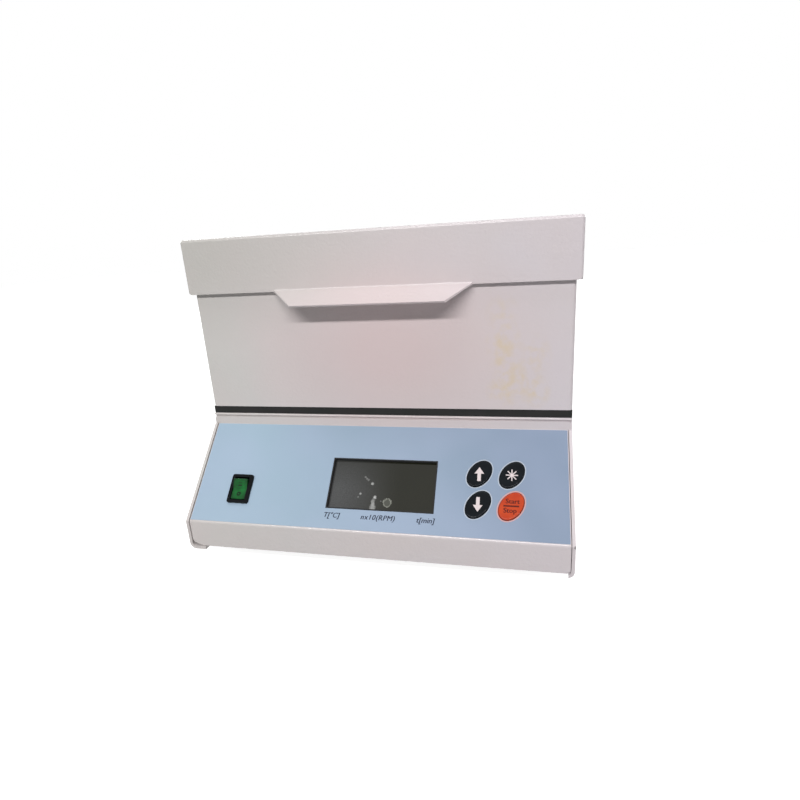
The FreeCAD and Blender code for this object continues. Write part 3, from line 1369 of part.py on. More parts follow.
def platform():
    """Platform with its bearing ring and corner bosses, bushes, mat and rack rails."""
    x0 = s.orbit_radius
    half_width, half_depth = x_platform, half_depth_platform
    bearing_out = s.bearing_radius
    bush_out = s.idler_pin_radius + s.running_clearance * 2 + s.bush_wall
    plate = box("platform_blank", (x0 - half_width, x0 + half_width),
                (y_drive - half_depth, y_drive + half_depth), (z_plate, z_plate_top))
    plate = soften("platform_rounded", plate, s.platform_corner, lambda edge: runs_along(edge, "Z"))
    z_race = z_plate_top - s.platform_bearing_height
    z_ring = z_race - s.bearing_floor
    hub = rod("platform_hub", "Z", (x0, y_drive, z_ring), z_plate - z_ring, bearing_out + s.hub_ring_wall)
    bosses = [rod(f"boss_{index}", "Z", (x + x0, y, z_boss), s.boss_height, s.boss_radius)
              for index, (x, y) in enumerate(post_places)]
    ways = [rod(f"bush_way_{index}", "Z", (x + x0, y, z_boss - 1), z_plate_top - z_boss + 2, bush_out)
            for index, (x, y) in enumerate(post_places)]
    bearing_way = rod("bearing_way", "Z", (x0, y_drive, z_race), z_plate_top - z_race + 1, bearing_out)
    lip_way = rod("bearing_lip_way", "Z", (x0, y_drive, z_ring - 1), z_plate_top - z_ring + 2,
                  bearing_out - s.bearing_lip)
    keep(cut("shaking_platform", fuse("platform_solid", plate, hub, *bosses), bearing_way, lip_way, *ways))
    bearing = ring("platform_bearing", s.crank_pin_radius + s.running_clearance, bearing_out,
                   z_race, z_plate_top)
    keep(place(bearing, x0, y_drive, 0))
    bushes = []
    for index, (x, y) in enumerate(post_places, 1):
        bush = ring(f"platform_bush_{index}", s.idler_pin_radius + s.running_clearance * 2, bush_out,
                    z_boss, z_plate_top)
        bushes.append(place(bush, x + x0, y, 0))
    keep(group("platform_bushes", bushes))

    rail_xs = (half_width - s.rail_sheet, half_width)
    mat_half = half_width - s.rail_foot - s.seat_gap
    ys = (y_drive - half_depth + s.mat_inset, y_drive + half_depth - s.mat_inset)
    mat = box("mat_blank", (x0 - mat_half, x0 + mat_half), ys, (z_plate_top, z_mat_top))
    middle_way = box("mat_slot", (x0 - s.rail_foot - s.seat_gap, x0 + s.rail_foot + s.seat_gap),
                     (ys[0] - 1, ys[1] + 1), (z_plate_top - 1, z_mat_top + 1))
    keep(cut("platform_mat", mat, middle_way))
    foot_zs, wall_zs = (z_plate_top, z_plate_top + s.rail_sheet), (z_plate_top, z_plate_top + s.rail_height)
    rails = []
    for sign, tag in ((-1, "left"), (1, "right")):
        wall_xs = sorted((x0 + sign * rail_xs[0], x0 + sign * rail_xs[1]), key=number)
        base_xs = sorted((x0 + sign * (half_width - s.rail_foot), x0 + sign * half_width), key=number)
        rails.append(fuse(f"rail_{tag}", box(f"rail_wall_{tag}", wall_xs, ys, wall_zs),
                          box(f"rail_base_{tag}", base_xs, ys, foot_zs)))
    half_sheet = s.rail_sheet / 2
    rails.append(fuse("rail_middle",
                      box("rail_wall_middle", (x0 - half_sheet, x0 + half_sheet), ys, wall_zs),
                      box("rail_base_middle", (x0 - s.rail_foot, x0 + s.rail_foot), ys, foot_zs)))
    keep(group("rack_rails", rails))


# Electrics in the base

def rear_panel():
    """Rear wall of the base with the inlet's cut-out and its vent slots."""
    ys = (y_back - s.rear_sheet, y_back)
    half = x_cheek - s.rear_gap
    plate = box("rear_blank", (-half, half), ys, (z_floor, z_deck))
    plate = soften("rear_rounded", plate, s.pan_bend - s.pan_sheet,
                   lambda edge: runs_along(edge, "Y") and edge.BoundBox.ZMax < number(z_floor) + TOUCH)
    tools = [box("inlet_cutout",
                 (x_inlet - s.inlet_body_width / 2, x_inlet + s.inlet_body_width / 2),
                 (ys[0] - 1, ys[1] + 1),
                 (z_inlet - s.inlet_body_height / 2, z_inlet + s.inlet_body_height / 2))]
    for step in range(REAR_SLOTS):
        x = x_cheek - s.rear_vent_inset - step * s.vent_pitch
        tools.append(box(f"rear_slot_{step}", (x - s.vent_slot_width / 2, x + s.vent_slot_width / 2),
                         (ys[0] - 1, ys[1] + 1), (z_inlet - s.vent_slot_length / 2,
                                                  z_inlet + s.vent_slot_length / 2)))
    keep(cut("rear_panel", plate, *tools))


def mains_inlet():
    """Mains inlet with three pins in its well and a fuse drawer below."""
    def centred(name, width, height, rise, ys):
        z = z_inlet + rise
        return box(name, (x_inlet - width / 2, x_inlet + width / 2), ys,
                   (z - height / 2, z + height / 2))

    face = y_back + s.inlet_flange
    flange = centred("inlet_flange_block", s.inlet_flange_width, s.inlet_flange_height, 0, (y_back, face))
    flange = soften("inlet_flange_rounded", flange, s.inlet_flange, lambda edge: runs_along(edge, "Y"))
    block = centred("inlet_block", s.inlet_body_width, s.inlet_body_height, 0,
                    (y_back - s.inlet_body_depth, y_back))
    well = centred("inlet_well", s.inlet_well_width, s.inlet_well_height, s.inlet_well_rise,
                   (face - s.inlet_well_depth, face + 1))
    clear = s.drawer_clearance * 2
    slot = centred("drawer_slot", s.drawer_width + clear, s.drawer_height + clear, -s.drawer_drop,
                   (face - s.drawer_depth - s.drawer_clearance, face + 1))
    keep(cut("mains_inlet", fuse("inlet_solid", flange, block), well, slot))

    pin_ys = (face - s.inlet_well_depth, face - s.inlet_pin_recess)
    pins = []
    for tag, offset, rise in (("line", -1, -s.inlet_pin_drop), ("neutral", 1, -s.inlet_pin_drop),
                              ("earth", 0, s.earth_pin_rise)):
        x = x_inlet + offset * s.inlet_pin_spacing / 2
        z = z_inlet + s.inlet_well_rise + rise
        pins.append(box(f"inlet_pin_{tag}", (x - s.inlet_pin_width / 2, x + s.inlet_pin_width / 2), pin_ys,
                        (z - s.inlet_pin_height / 2, z + s.inlet_pin_height / 2)))
    keep(group("inlet_pins", pins))

    tray = centred("drawer_tray", s.drawer_width, s.drawer_height, -s.drawer_drop,
                   (face - s.drawer_depth, face + s.drawer_proud))
    fuse_room = centred("fuse_room", s.drawer_width - s.drawer_wall * 2, s.drawer_height - s.drawer_wall,
                        s.drawer_wall - s.drawer_drop,
                        (face - s.drawer_depth + s.drawer_wall, face - s.drawer_wall * 2))
    fuse_way = s.drawer_wall + s.running_clearance
    fuse_link = rod("fuse_link", "X", (x_inlet - s.drawer_width / 2 + fuse_way, face - s.drawer_depth / 2,
                                       z_inlet - s.drawer_drop - s.drawer_wall / 2),
                    s.drawer_width - fuse_way * 2, s.fuse_radius)
    keep(cut("fuse_drawer", tray, cut("fuse_room_shape", fuse_room, fuse_link)))


def electronics():
    """Power board on standoffs, transformer, and the ribbon from the power board to the console."""
    x_low, y_high = s.power_board_side_gap - x_cheek, y_back - s.power_board_back_gap
    xs, ys = (x_low, x_low + s.power_board_width), (y_high - s.power_board_depth, y_high)
    z_board = z_floor + s.standoff_height
    z_board_top = z_board + s.board_thickness
    standoffs = [rod(f"standoff_{x_index}_{y_index}", "Z", (x, y, z_floor), s.standoff_height,
                     s.standoff_radius)
                 for x_index, x in enumerate((xs[0] + s.standoff_inset, xs[1] - s.standoff_inset))
                 for y_index, y in enumerate((ys[0] + s.standoff_inset, ys[1] - s.standoff_inset))]
    spacers.extend(standoffs)
    board = box("power_blank", xs, ys, (z_board, z_board_top))
    capacitors = [rod(f"capacitor_{index}", "Z",
                      (xs[0] + s.capacitor_inset + index * s.capacitor_pitch, (ys[0] + ys[1]) / 2,
                       z_board_top),
                      s.capacitor_height, s.capacitor_radius) for index in range(2)]
    cooler_end = xs[1] - s.cooler_inset
    cooler = box("cooler", (cooler_end - s.cooler_thickness, cooler_end),
                 (ys[0] + s.cooler_end_gap, ys[1] - s.cooler_end_gap),
                 (z_board_top, z_board_top + s.cooler_height))
    keep(fuse("power_board", board, cooler, *capacitors))

    half_width, half_depth = s.transformer_width / 2, s.transformer_depth / 2
    x = x_cheek - s.transformer_side_gap - half_width
    y = y_back - s.transformer_back_gap - half_depth
    z_core_top = z_floor + s.transformer_height
    core = box("transformer_core", (x - half_width, x + half_width),
               (y - half_depth / 2, y + half_depth / 2), (z_floor, z_core_top))
    winding = box("transformer_winding", (x - half_width / 2, x + half_width / 2),
                  (y - half_depth, y + half_depth),
                  (z_floor + s.transformer_height / 5, z_core_top - s.transformer_height / 5))
    keep(fuse("transformer", core, winding))

    body = new_body("ribbon_cable")
    path = sketch(body, "YZ_Plane", outward=x_board[0] + s.ribbon_inset + s.ribbon_width / 2)
    low_y, low_z = slope_point(s.ribbon_inset - s.board_down - s.board_height / 2,
                               -s.board_depth - s.board_thickness)
    t, lap = s.ribbon_thickness, s.ribbon_lap
    high_y, high_z = low_y + t * 2, low_z + t * 2 * s.slope_rise / s.slope_run
    outline(path, [
        (low_y, low_z), (high_y, high_z), (high_y, z_floor + t),
        (ys[0] - lap - t, z_floor + t), (ys[0] - lap - t, z_board_top + t), (ys[0] + lap, z_board_top + t),
        (ys[0] + lap, z_board_top), (ys[0] - lap, z_board_top), (ys[0] - lap, z_floor),
        (low_y, z_floor),
    ])
    pad(body, path, s.ribbon_width, symmetric=True)
    keep(body)


base_pan()
console_panel()
control_film()
display()
control_board()
keys()
rocker_switch()
console_fasteners()
top_deck()
chamber()
fan_room()
lid()
hinges()
drive()
idlers()
platform()
rear_panel()
mains_inlet()
electronics()
keep(group("spacers", spacers))
doc.recompute()

for obj in doc.Objects:
    if "Invalid" in obj.State or "Error" in obj.State:
        raise RuntimeError(f"{obj.Label} was not made: {obj.State}")
for piece in pieces:
    shape = piece.Shape
    if shape.isNull() or not shape.isValid() or not shape.Solids:
        raise RuntimeError(f"{piece.Label} is not a valid solid")
for piece in pieces:
    piece.Shape.exportStep(f"parts/{piece.Label}.step")
    limits = piece.Shape.BoundBox
    print(f"{piece.Label:22s} solids {len(piece.Shape.Solids)}  volume {piece.Shape.Volume:10.0f}  "
          f"x {limits.XMin:.1f} {limits.XMax:.1f}  y {limits.YMin:.1f} {limits.YMax:.1f}  "
          f"z {limits.ZMin:.1f} {limits.ZMax:.1f}")
print(len(pieces), "pieces")
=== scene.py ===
import math

import bmesh
import bpy
from mathutils import Matrix, Vector


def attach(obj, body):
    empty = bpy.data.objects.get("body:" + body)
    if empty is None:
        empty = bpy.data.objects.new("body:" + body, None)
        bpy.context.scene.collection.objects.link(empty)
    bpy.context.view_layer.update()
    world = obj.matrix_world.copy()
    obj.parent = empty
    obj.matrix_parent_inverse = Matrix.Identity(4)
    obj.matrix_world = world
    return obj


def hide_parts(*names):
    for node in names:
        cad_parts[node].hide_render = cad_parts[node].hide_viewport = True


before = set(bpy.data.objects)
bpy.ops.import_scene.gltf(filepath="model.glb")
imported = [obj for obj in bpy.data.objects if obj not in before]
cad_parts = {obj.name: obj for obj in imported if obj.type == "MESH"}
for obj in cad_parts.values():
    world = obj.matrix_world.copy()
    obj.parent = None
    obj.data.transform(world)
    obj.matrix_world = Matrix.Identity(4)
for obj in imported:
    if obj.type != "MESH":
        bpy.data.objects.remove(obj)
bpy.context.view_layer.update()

# Places on the instrument in millimetres, as the part's source has them. A place on the console's
# slope is X, the distance up from the slope's top edge, and the height out of it
MM = 0.001
SIDES = (-1, 1)
SLOPE_TOP = (0, -118.9, 85.5)
SLOPE_FALL, SLOPE_RUN = 53.5, 55.3
FILM_TOP = 0.3
WINDOW_TOP = -2.2
KEY_TOP = 1.5
KEY_RADII = (10.1, 6.85)
KEY_TILT = math.radians(55.6)
KEYS = {
    "key_up": (72.0, -33.35), "key_function": (92.9, -33.35),
    "key_down": (72.0, -54.25), "key_start": (92.9, -54.25),
}
ROCKER = (-95.5, -51.8, -1.0)
ROCKER_TILT = math.radians(10)
PANEL_FRONT = -117.6


def slope_place(x, up, out):
    """Matrix of a place on the slope: X right, Y up the slope and Z out of it."""
    seat = Matrix.Translation(Vector(SLOPE_TOP) * MM) @ Matrix.Rotation(
        math.atan2(SLOPE_FALL, SLOPE_RUN), 4, "X")
    return seat @ Matrix.Translation(Vector((x, up, out)) * MM)


# Camera

# The photograph's viewpoint, fitted to the instrument's straight edges: the eye in metres, the
# angles in degrees, and the focal length and the centre's shift in the photograph's pixels
EYE = (0.1018, -0.467, 0.2162)
YAW, PITCH, ROLL = (math.radians(angle) for angle in (-13.73, 17.32, -3.63))
PHOTO_WIDTH = 800
FOCAL_LENGTH = 537.8
CENTRE_SHIFT = (-1.65, 1.07)
SENSOR_WIDTH = 36


def photo_camera():
    """Camera that sees the instrument as the photograph does."""
    ahead = Vector((math.sin(YAW) * math.cos(PITCH), math.cos(YAW) * math.cos(PITCH),
                    -math.sin(PITCH)))
    right = ahead.cross(Vector((0, 0, 1))).normalized()
    above = right.cross(ahead)
    image_right = right * math.cos(ROLL) + above * math.sin(ROLL)
    image_up = above * math.cos(ROLL) - right * math.sin(ROLL)
    data = bpy.data.cameras.new("camera")
    data.sensor_width = SENSOR_WIDTH
    data.lens = SENSOR_WIDTH * FOCAL_LENGTH / PHOTO_WIDTH
    data.shift_x, data.shift_y = (shift / PHOTO_WIDTH for shift in CENTRE_SHIFT)
    data.clip_start = 0.01
    camera = bpy.data.objects.new("camera", data)
    camera.matrix_world = Matrix.Translation(EYE) @ Matrix(
        (image_right, image_up, -ahead)).transposed().to_4x4()
    bpy.context.collection.objects.link(camera)
    bpy.context.scene.camera = camera
    bpy.context.scene.view_settings.view_transform = "Standard"


# Materials

# Socket numbers of the nodes whose labels repeat: a colour Mix, then a Map Range
AMOUNT, FIRST, SECOND, MIXED = 0, 6, 7, 2
VALUE, LOW, HIGH, TO_LOW, TO_HIGH = range(5)


def linear(colour):
    """Shader colour of an sRGB hex value."""
    channels = [int(colour[i:i + 2], 16) / 255 for i in (1, 3, 5)]
    return [c / 12.92 if c <= 0.04045 else ((c + 0.055) / 1.055) ** 2.4 for c in channels] + [1.0]


def put(tree, kind, inputs, **settings):
    """Adds a node with its settings; an input is a value or the socket that feeds it."""
    node = tree.nodes.new(kind)
    for name, value in settings.items():
        setattr(node, name, value)
    for name, value in inputs.items():
        if isinstance(value, bpy.types.NodeSocket):
            tree.links.new(value, node.inputs[name])
        else:
            node.inputs[name].default_value = value
    return node


def surface(name, colour, roughness, metallic=0.0, ior=1.5, **shader_inputs):
    """New material with its shader's plain values, and the coordinates that its patterns read."""
    material = bpy.data.materials.new(name)
    material.use_nodes = True
    tree = material.node_tree
    shader = tree.nodes["Principled BSDF"]
    shader.inputs["Base Color"].default_value = linear(colour)
    shader.inputs["Roughness"].default_value = roughness
    shader.inputs["Metallic"].default_value = metallic
    shader.inputs["IOR"].default_value = ior
    for socket, value in shader_inputs.items():
        shader.inputs[socket.replace("_", " ")].default_value = value
    place = put(tree, "ShaderNodeTexCoord", {}).outputs["Object"]
    return material, tree, shader, place


def layered(tree, tone, layers):
    """Lays tints over a colour one after another; each is a mask, its strength and a colour."""
    for mask, strength, colour in layers:
        amount = put(tree, "ShaderNodeMath", {0: mask, 1: strength}, operation="MULTIPLY",
                     use_clamp=True).outputs[0]
        tone = put(tree, "ShaderNodeMix", {AMOUNT: amount, FIRST: tone, SECOND: linear(colour)},
                   data_type="RGBA").outputs[MIXED]
    return tone


def mottle(tree, shader, place, scale, dark, pale):
    """Slow drift between two near colours."""
    cloud = put(tree, "ShaderNodeTexNoise", {"Vector": place, "Scale": scale, "Detail": 2.0})
    spread = put(tree, "ShaderNodeMapRange", {VALUE: cloud.outputs["Fac"], LOW: 0.35, HIGH: 0.65})
    tone = layered(tree, linear(dark), [(spread.outputs[0], 1.0, pale)])
    tree.links.new(tone, shader.inputs["Base Color"])
    return tone


def grain(tree, shader, place, scale, strength, depth, stretch=(1, 1, 1)):
    """Fine relief of a surface, drawn out along an axis where the stretch says so."""
    drawn = put(tree, "ShaderNodeMapping", {"Vector": place, "Scale": stretch})
    cloud = put(tree, "ShaderNodeTexNoise",
                {"Vector": drawn.outputs[0], "Scale": scale, "Detail": 3.0}).outputs["Fac"]
    relief = put(tree, "ShaderNodeBump", {"Height": cloud, "Strength": strength, "Distance": depth})
    tree.links.new(relief.outputs["Normal"], shader.inputs["Normal"])
    return cloud


def brushed(tree, shader, place, scale, strength, stretch, smooth, rough):
    """Scratches drawn out along one axis, along which the roughness varies between two values."""
    lines = grain(tree, shader, place, scale, strength, 0.0001, stretch)
    gloss = put(tree, "ShaderNodeMapRange", {VALUE: lines, TO_LOW: smooth, TO_HIGH: rough})
    tree.links.new(gloss.outputs[0], shader.inputs["Roughness"])


def ridges(tree, shader, place, pitch, depth):
    """Rounded ridges along Y; a wave texture of scale 1 repeats every pi / 10."""
    bands = put(tree, "ShaderNodeTexWave", {"Vector": place, "Scale": math.pi / 10 / pitch},
                bands_direction="X")
    relief = put(tree, "ShaderNodeBump", {"Height": bands.outputs["Fac"], "Strength": 0.5,
                                          "Distance": depth})
    tree.links.new(relief.outputs["Normal"], shader.inputs["Normal"])


def near(tree, place, centre, inner, outer, scale=(1, 1, 1)):
    """Mask that is 1 within the inner distance of a point and fades to 0 at the outer one."""
    moved = put(tree, "ShaderNodeVectorMath", {0: place, 1: centre}, operation="SUBTRACT")
    scaled = put(tree, "ShaderNodeVectorMath", {0: moved.outputs[0], 1: scale},
                 operation="MULTIPLY")
    reach = put(tree, "ShaderNodeVectorMath", {0: scaled.outputs[0]}, operation="LENGTH")
    return put(tree, "ShaderNodeMapRange",
               {VALUE: reach.outputs["Value"], LOW: outer, HIGH: inner}).outputs[0]


# Splash marks on the chamber's front panel: X, Z, reach and strength
SPLASHES = ((86.5, 145, 13, 0.9), (87.6, 131, 11, 0.8), (96.5, 119.5, 13, 0.8),
            (107, 112, 11, 0.9), (85.6, 112, 12, 0.9), (107, 136, 12, 0.6), (86, 163, 12, 0.45))
# Chipped corners, with the chip's reach
CHIPS = (((131, -174.5, 31.8), 1.3), ((-134.4, -121, 220.3), 1.1))


def powder_coat():
    # Polyester powder coat on folded steel: off-white, satin, with orange peel about 2 mm across
    # that breaks the light up along the folds. Painted light makes it darker and greyer at the left
    # and lighter and lilac at the right, painted shade darkens the lid's left end further, and it
    # is a little pinker in the middle of the front panel
    material, tree, shader, place = surface("powder_coated_steel", "#cfc6c5", 0.24)
    # Painted light: darker and greyer at the left, lighter and lilac at the right
    across = put(tree, "ShaderNodeSeparateXYZ", {"Vector": place}).outputs["X"]
    side = put(tree, "ShaderNodeMapRange", {VALUE: across, LOW: -0.13, HIGH: 0.12}).outputs[0]
    cloud = put(tree, "ShaderNodeTexNoise", {"Vector": place, "Scale": 18.0, "Detail": 2.0})
    drift = put(tree, "ShaderNodeMapRange",
                {VALUE: cloud.outputs["Fac"], LOW: 0.3, HIGH: 0.7, TO_HIGH: 0.6}).outputs[0]
    blush = near(tree, place, (0.01, -0.12, 0.14), 0.02, 0.12, (1.0, 1.0, 1.4))
    # Painted shade: the lid's left end darker and greyer
    painted_shade_lid_left = near(tree, place, (-0.14, -0.121, 0.215), 0.03, 0.16, (1.0, 1.0, 2.2))
    tone = layered(tree, linear("#c6c4c0"), [
        (side, 1.0, "#d0c8cd"), (drift, 1.0, "#cfc5c4"), (blush, 1.0, "#d1bfbf"),
        (painted_shade_lid_left, 0.6, "#b2b0aa")])
    grain(tree, shader, place, 520.0, 0.5, 0.0004)
    # Old splash marks have left yellowish stains in patches
    patchy = put(tree, "ShaderNodeTexNoise", {"Vector": place, "Scale": 160.0, "Detail": 4.0})
    patches = put(tree, "ShaderNodeMapRange",
                  {VALUE: patchy.outputs["Fac"], LOW: 0.42, HIGH: 0.66}).outputs[0]
    for x, z, reach, strength in SPLASHES:
        spot = near(tree, place, (x * MM, PANEL_FRONT * MM, z * MM), 0.0, reach * MM,
                    (1.0, 1.0, 0.8))
        stain = put(tree, "ShaderNodeMath", {0: spot, 1: patches}, operation="MULTIPLY").outputs[0]
        tone = layered(tree, tone, [(stain, strength, "#d2c0a5")])
    # Chips go through to the dark primer on the corners that get knocked
    for corner, reach in CHIPS:
        bare = near(tree, place, Vector(corner) * MM, reach * 0.5 * MM, reach * MM)
        tone = layered(tree, tone, [(bare, 1.0, "#4d4a49")])
    tree.links.new(tone, shader.inputs["Base Color"])
    return material


def polyester_film():
    # Screen-printed polyester film: flat light blue, with painted shade that makes it darker and
    # greyer to the right, and a faint satin tooth
    material, tree, shader, place = surface("printed_polyester_film", "#a3b6c9", 0.4)
    # Painted shade: darker and greyer towards the right
    across = put(tree, "ShaderNodeSeparateXYZ", {"Vector": place}).outputs["X"]
    side = put(tree, "ShaderNodeMapRange", {VALUE: across, LOW: -0.1, HIGH: 0.1}).outputs[0]
    cloud = put(tree, "ShaderNodeTexNoise", {"Vector": place, "Scale": 22.0, "Detail": 1.0})
    drift = put(tree, "ShaderNodeMapRange",
                {VALUE: cloud.outputs["Fac"], LOW: 0.3, HIGH: 0.7, TO_HIGH: 0.22}).outputs[0]
    tone = layered(tree, linear("#9ab1c2"), [(side, 1.0, "#7788a0"), (drift, 1.0, "#a9b2d0")])
    tree.links.new(tone, shader.inputs["Base Color"])
    grain(tree, shader, place, 1500.0, 0.05, 0.0001)
    return material


# Dried drops on the window: X and distance up the slope, full and faded reach, squeeze along X,
# strength
DROPS = ((-0.3, -42.6, 0.2, 1.3, 1.0, 0.75), (-7.6, -50.1, 0.1, 1.0, 1.0, 0.75),
         (-9.0, -52.4, 0.0, 0.8, 1.0, 0.4), (7.5, -54.4, 0.0, 0.7, 1.0, 0.4),
         (2.7, -52.0, 0.5, 1.6, 1.15, 0.8), (1.75, -55.4, 1.2, 2.9, 1.9, 0.4),
         (1.95, -59.2, 1.6, 3.8, 1.6, 0.5), (-5.8, -38.1, 0.2, 1.0, 0.9, 0.28),
         (-4.6, -39.0, 0.2, 1.0, 0.9, 0.28), (-3.4, -40.0, 0.2, 1.0, 0.9, 0.28))
# The one that dried to a ring, with the radii of its inner and outer edge, each faded a little
RING_DROP = (11.7, -55.4)
RING_INSIDE, RING_OUTSIDE = (2.1, 2.7), (2.7, 3.2)


def smoked_window():
    # Smoked acrylic sheet over a dark reflective display: olive, paler grey in a fine speckle
    # towards its left and its lower edge, and a few dried drops with ragged rims
    material, tree, shader, place = surface("smoked_acrylic", "#1d1d15", 0.1,
                                            Specular_IOR_Level=0.4)
    glass = mottle(tree, shader, place, 20.0, "#15160a", "#1b1b0f")
    axes = put(tree, "ShaderNodeSeparateXYZ", {"Vector": place})
    # Paler grey towards the left and the lower edge, in a fine speckle
    haze = put(tree, "ShaderNodeMapRange", {VALUE: axes.outputs["X"], LOW: 0.022, HIGH: -0.026},
               interpolation_type="SMOOTHSTEP").outputs[0]
    speckle_cloud = put(tree, "ShaderNodeTexNoise", {"Vector": place, "Scale": 1400.0, "Detail": 3.0})
    speckled = put(tree, "ShaderNodeMapRange", {VALUE: speckle_cloud.outputs["Fac"], LOW: 0.25, HIGH: 0.75,
                                             TO_LOW: 0.6, TO_HIGH: 1.0}).outputs[0]
    towards_lower_edge = put(tree, "ShaderNodeMapRange", {VALUE: axes.outputs["Z"], LOW: 0.068, HIGH: 0.052,
                                               TO_LOW: 0.4, TO_HIGH: 1.0}).outputs[0]
    veil = put(tree, "ShaderNodeMath", {0: haze, 1: speckled}, operation="MULTIPLY").outputs[0]
    veil = put(tree, "ShaderNodeMath", {0: veil, 1: towards_lower_edge}, operation="MULTIPLY").outputs[0]
    tone = layered(tree, glass, [(veil, 1.0, "#4d4e4f")])
    # Places read by the drops' masks are shaken by up to 1 mm, which makes the rims ragged
    waver = put(tree, "ShaderNodeTexNoise", {"Vector": place, "Scale": 900.0, "Detail": 2.0})
    waver = put(tree, "ShaderNodeVectorMath", {0: waver.outputs["Color"], 1: (0.5, 0.5, 0.5)},
                operation="SUBTRACT")
    waver = put(tree, "ShaderNodeVectorMath", {0: waver.outputs[0], 1: (0.002, 0.002, 0.002)},
                operation="MULTIPLY")
    shaken = put(tree, "ShaderNodeVectorMath", {0: place, 1: waver.outputs[0]},
                 operation="ADD").outputs[0]
    for x, up, inner, outer, squeeze, strength in DROPS:
        spot = slope_place(x, up, WINDOW_TOP).translation
        drop = near(tree, shaken, spot, inner * MM, outer * MM, (squeeze, 1.0, 1.0))
        tone = layered(tree, tone, [(drop, strength, "#c3c4c2")])
    spot = slope_place(*RING_DROP, WINDOW_TOP).translation
    disc, core = (near(tree, shaken, spot, inner * MM, outer * MM)
                  for inner, outer in (RING_OUTSIDE, RING_INSIDE))
    rim = put(tree, "ShaderNodeMath", {0: disc, 1: core}, operation="SUBTRACT",
              use_clamp=True).outputs[0]
    wash = put(tree, "ShaderNodeMath", {0: disc, 1: 0.18}, operation="MULTIPLY").outputs[0]
    dried = put(tree, "ShaderNodeMath", {0: rim, 1: 0.55, 2: wash}, operation="MULTIPLY_ADD",
                use_clamp=True).outputs[0]
    tone = layered(tree, tone, [(dried, 1.0, "#9a9c92")])
    tree.links.new(tone, shader.inputs["Base Color"])
    return material


def moulded_black():
    # Black nylon, injection moulded with a fine spark-eroded texture
    material, tree, shader, place = surface("moulded_black_nylon", "#06080a", 0.34, ior=1.53,
                                            Specular_IOR_Level=0.08)
    mottle(tree, shader, place, 120.0, "#040608", "#090c0f")
    grain(tree, shader, place, 2500.0, 0.12, 0.0001)
    return material


def isolator_laminate():
    # Black phenolic board: satin sheet with a faintly rougher sawn edge
    material, tree, shader, place = surface("black_phenolic_board", "#121312", 0.6, ior=1.6,
                                            Specular_IOR_Level=0.2)
    mottle(tree, shader, place, 60.0, "#101210", "#181717")
    grain(tree, shader, place, 900.0, 0.12, 0.0002, (1, 1, 6))
    return material


def key_cap(name, dark, pale):
    # Polycarbonate key cap, moulded in its colour: even, under a clear glossy skin
    material, tree, shader, place = surface(name, dark, 0.16, ior=1.58, Specular_IOR_Level=0.1)
    mottle(tree, shader, place, 160.0, dark, pale)
    grain(tree, shader, place, 900.0, 0.04, 0.0001)
    return material


def rocker_green():
    # Translucent green polycarbonate rocker, unlit: deep colour, with painted shade darkening it
    # towards its moulded edges
    material, tree, shader, place = surface(
        "translucent_green_polycarbonate", "#0a5f24", 0.16, ior=1.58, Specular_IOR_Level=0.2,
        Subsurface_Weight=0.15, Subsurface_Scale=0.002)
    bright = mottle(tree, shader, place, 160.0, "#075420", "#0a6a2a")
    # Painted shade: darker green towards the rocker's edges, with the middle left bright
    middle = near(tree, place, slope_place(*ROCKER).translation, 0.0045, 0.0085, (1.25, 0.7, 0.7))
    tone = put(tree, "ShaderNodeMix", {AMOUNT: middle, FIRST: linear("#023312"), SECOND: bright},
               data_type="RGBA").outputs[MIXED]
    tree.links.new(tone, shader.inputs["Base Color"])
    grain(tree, shader, place, 700.0, 0.05, 0.0001)
    return material


def ink(name, colour):
    # Screen ink: opaque and matt, with the mesh's faint tooth
    material, tree, shader, place = surface(name, colour, 0.6, Specular_IOR_Level=0.15)
    grain(tree, shader, place, 2500.0, 0.1, 0.0001)
    return material


def stainless():
    # Stainless sheet, brushed along X: grey metal with long scratches, drawn coarser than real ones
    material, tree, shader, place = surface("brushed_stainless", "#b9b8b5", 0.3, metallic=1.0)
    brushed(tree, shader, place, 900.0, 0.12, (0.02, 1, 1), 0.24, 0.42)
    return material


def zinc_plate():
    # Zinc-plated steel: pale bluish metal with a soft spangle
    material, tree, shader, place = surface("zinc_plated_steel", "#b4b6b9", 0.34, metallic=1.0)
    mottle(tree, shader, place, 300.0, "#a8abb0", "#c0c1c2")
    grain(tree, shader, place, 1200.0, 0.08, 0.0001)
    return material


def ground_steel():
    # Ground bearing steel: bright, with fine marks left by the grinding wheel
    material, tree, shader, place = surface("ground_steel", "#c4c4c3", 0.2, metallic=1.0)
    grain(tree, shader, place, 1800.0, 0.06, 0.0001, (1, 1, 0.1))
    return material


def milled_aluminium():
    # Aluminium plate as rolled: pale, satin, faint lines along Y
    material, tree, shader, place = surface("rolled_aluminium", "#c6c7c8", 0.36, metallic=1.0)
    brushed(tree, shader, place, 1000.0, 0.1, (1, 0.03, 1), 0.3, 0.46)
    return material


def rubber(name, dark, pale):
    # Moulded rubber: matt, bloomed a little towards grey
    material, tree, shader, place = surface(name, dark, 0.75, ior=1.52, Specular_IOR_Level=0.3)
    mottle(tree, shader, place, 90.0, dark, pale)
    grain(tree, shader, place, 1400.0, 0.2, 0.0002)
    return material


def ribbed_mat():
    # Nitrile mat with moulded ribs 3 mm apart
    material, tree, shader, place = surface("ribbed_nitrile_mat", "#232425", 0.7, ior=1.52)
    mottle(tree, shader, place, 60.0, "#202122", "#2b2c2d")
    ridges(tree, shader, place, 3.0 * MM, 0.0006)
    return material


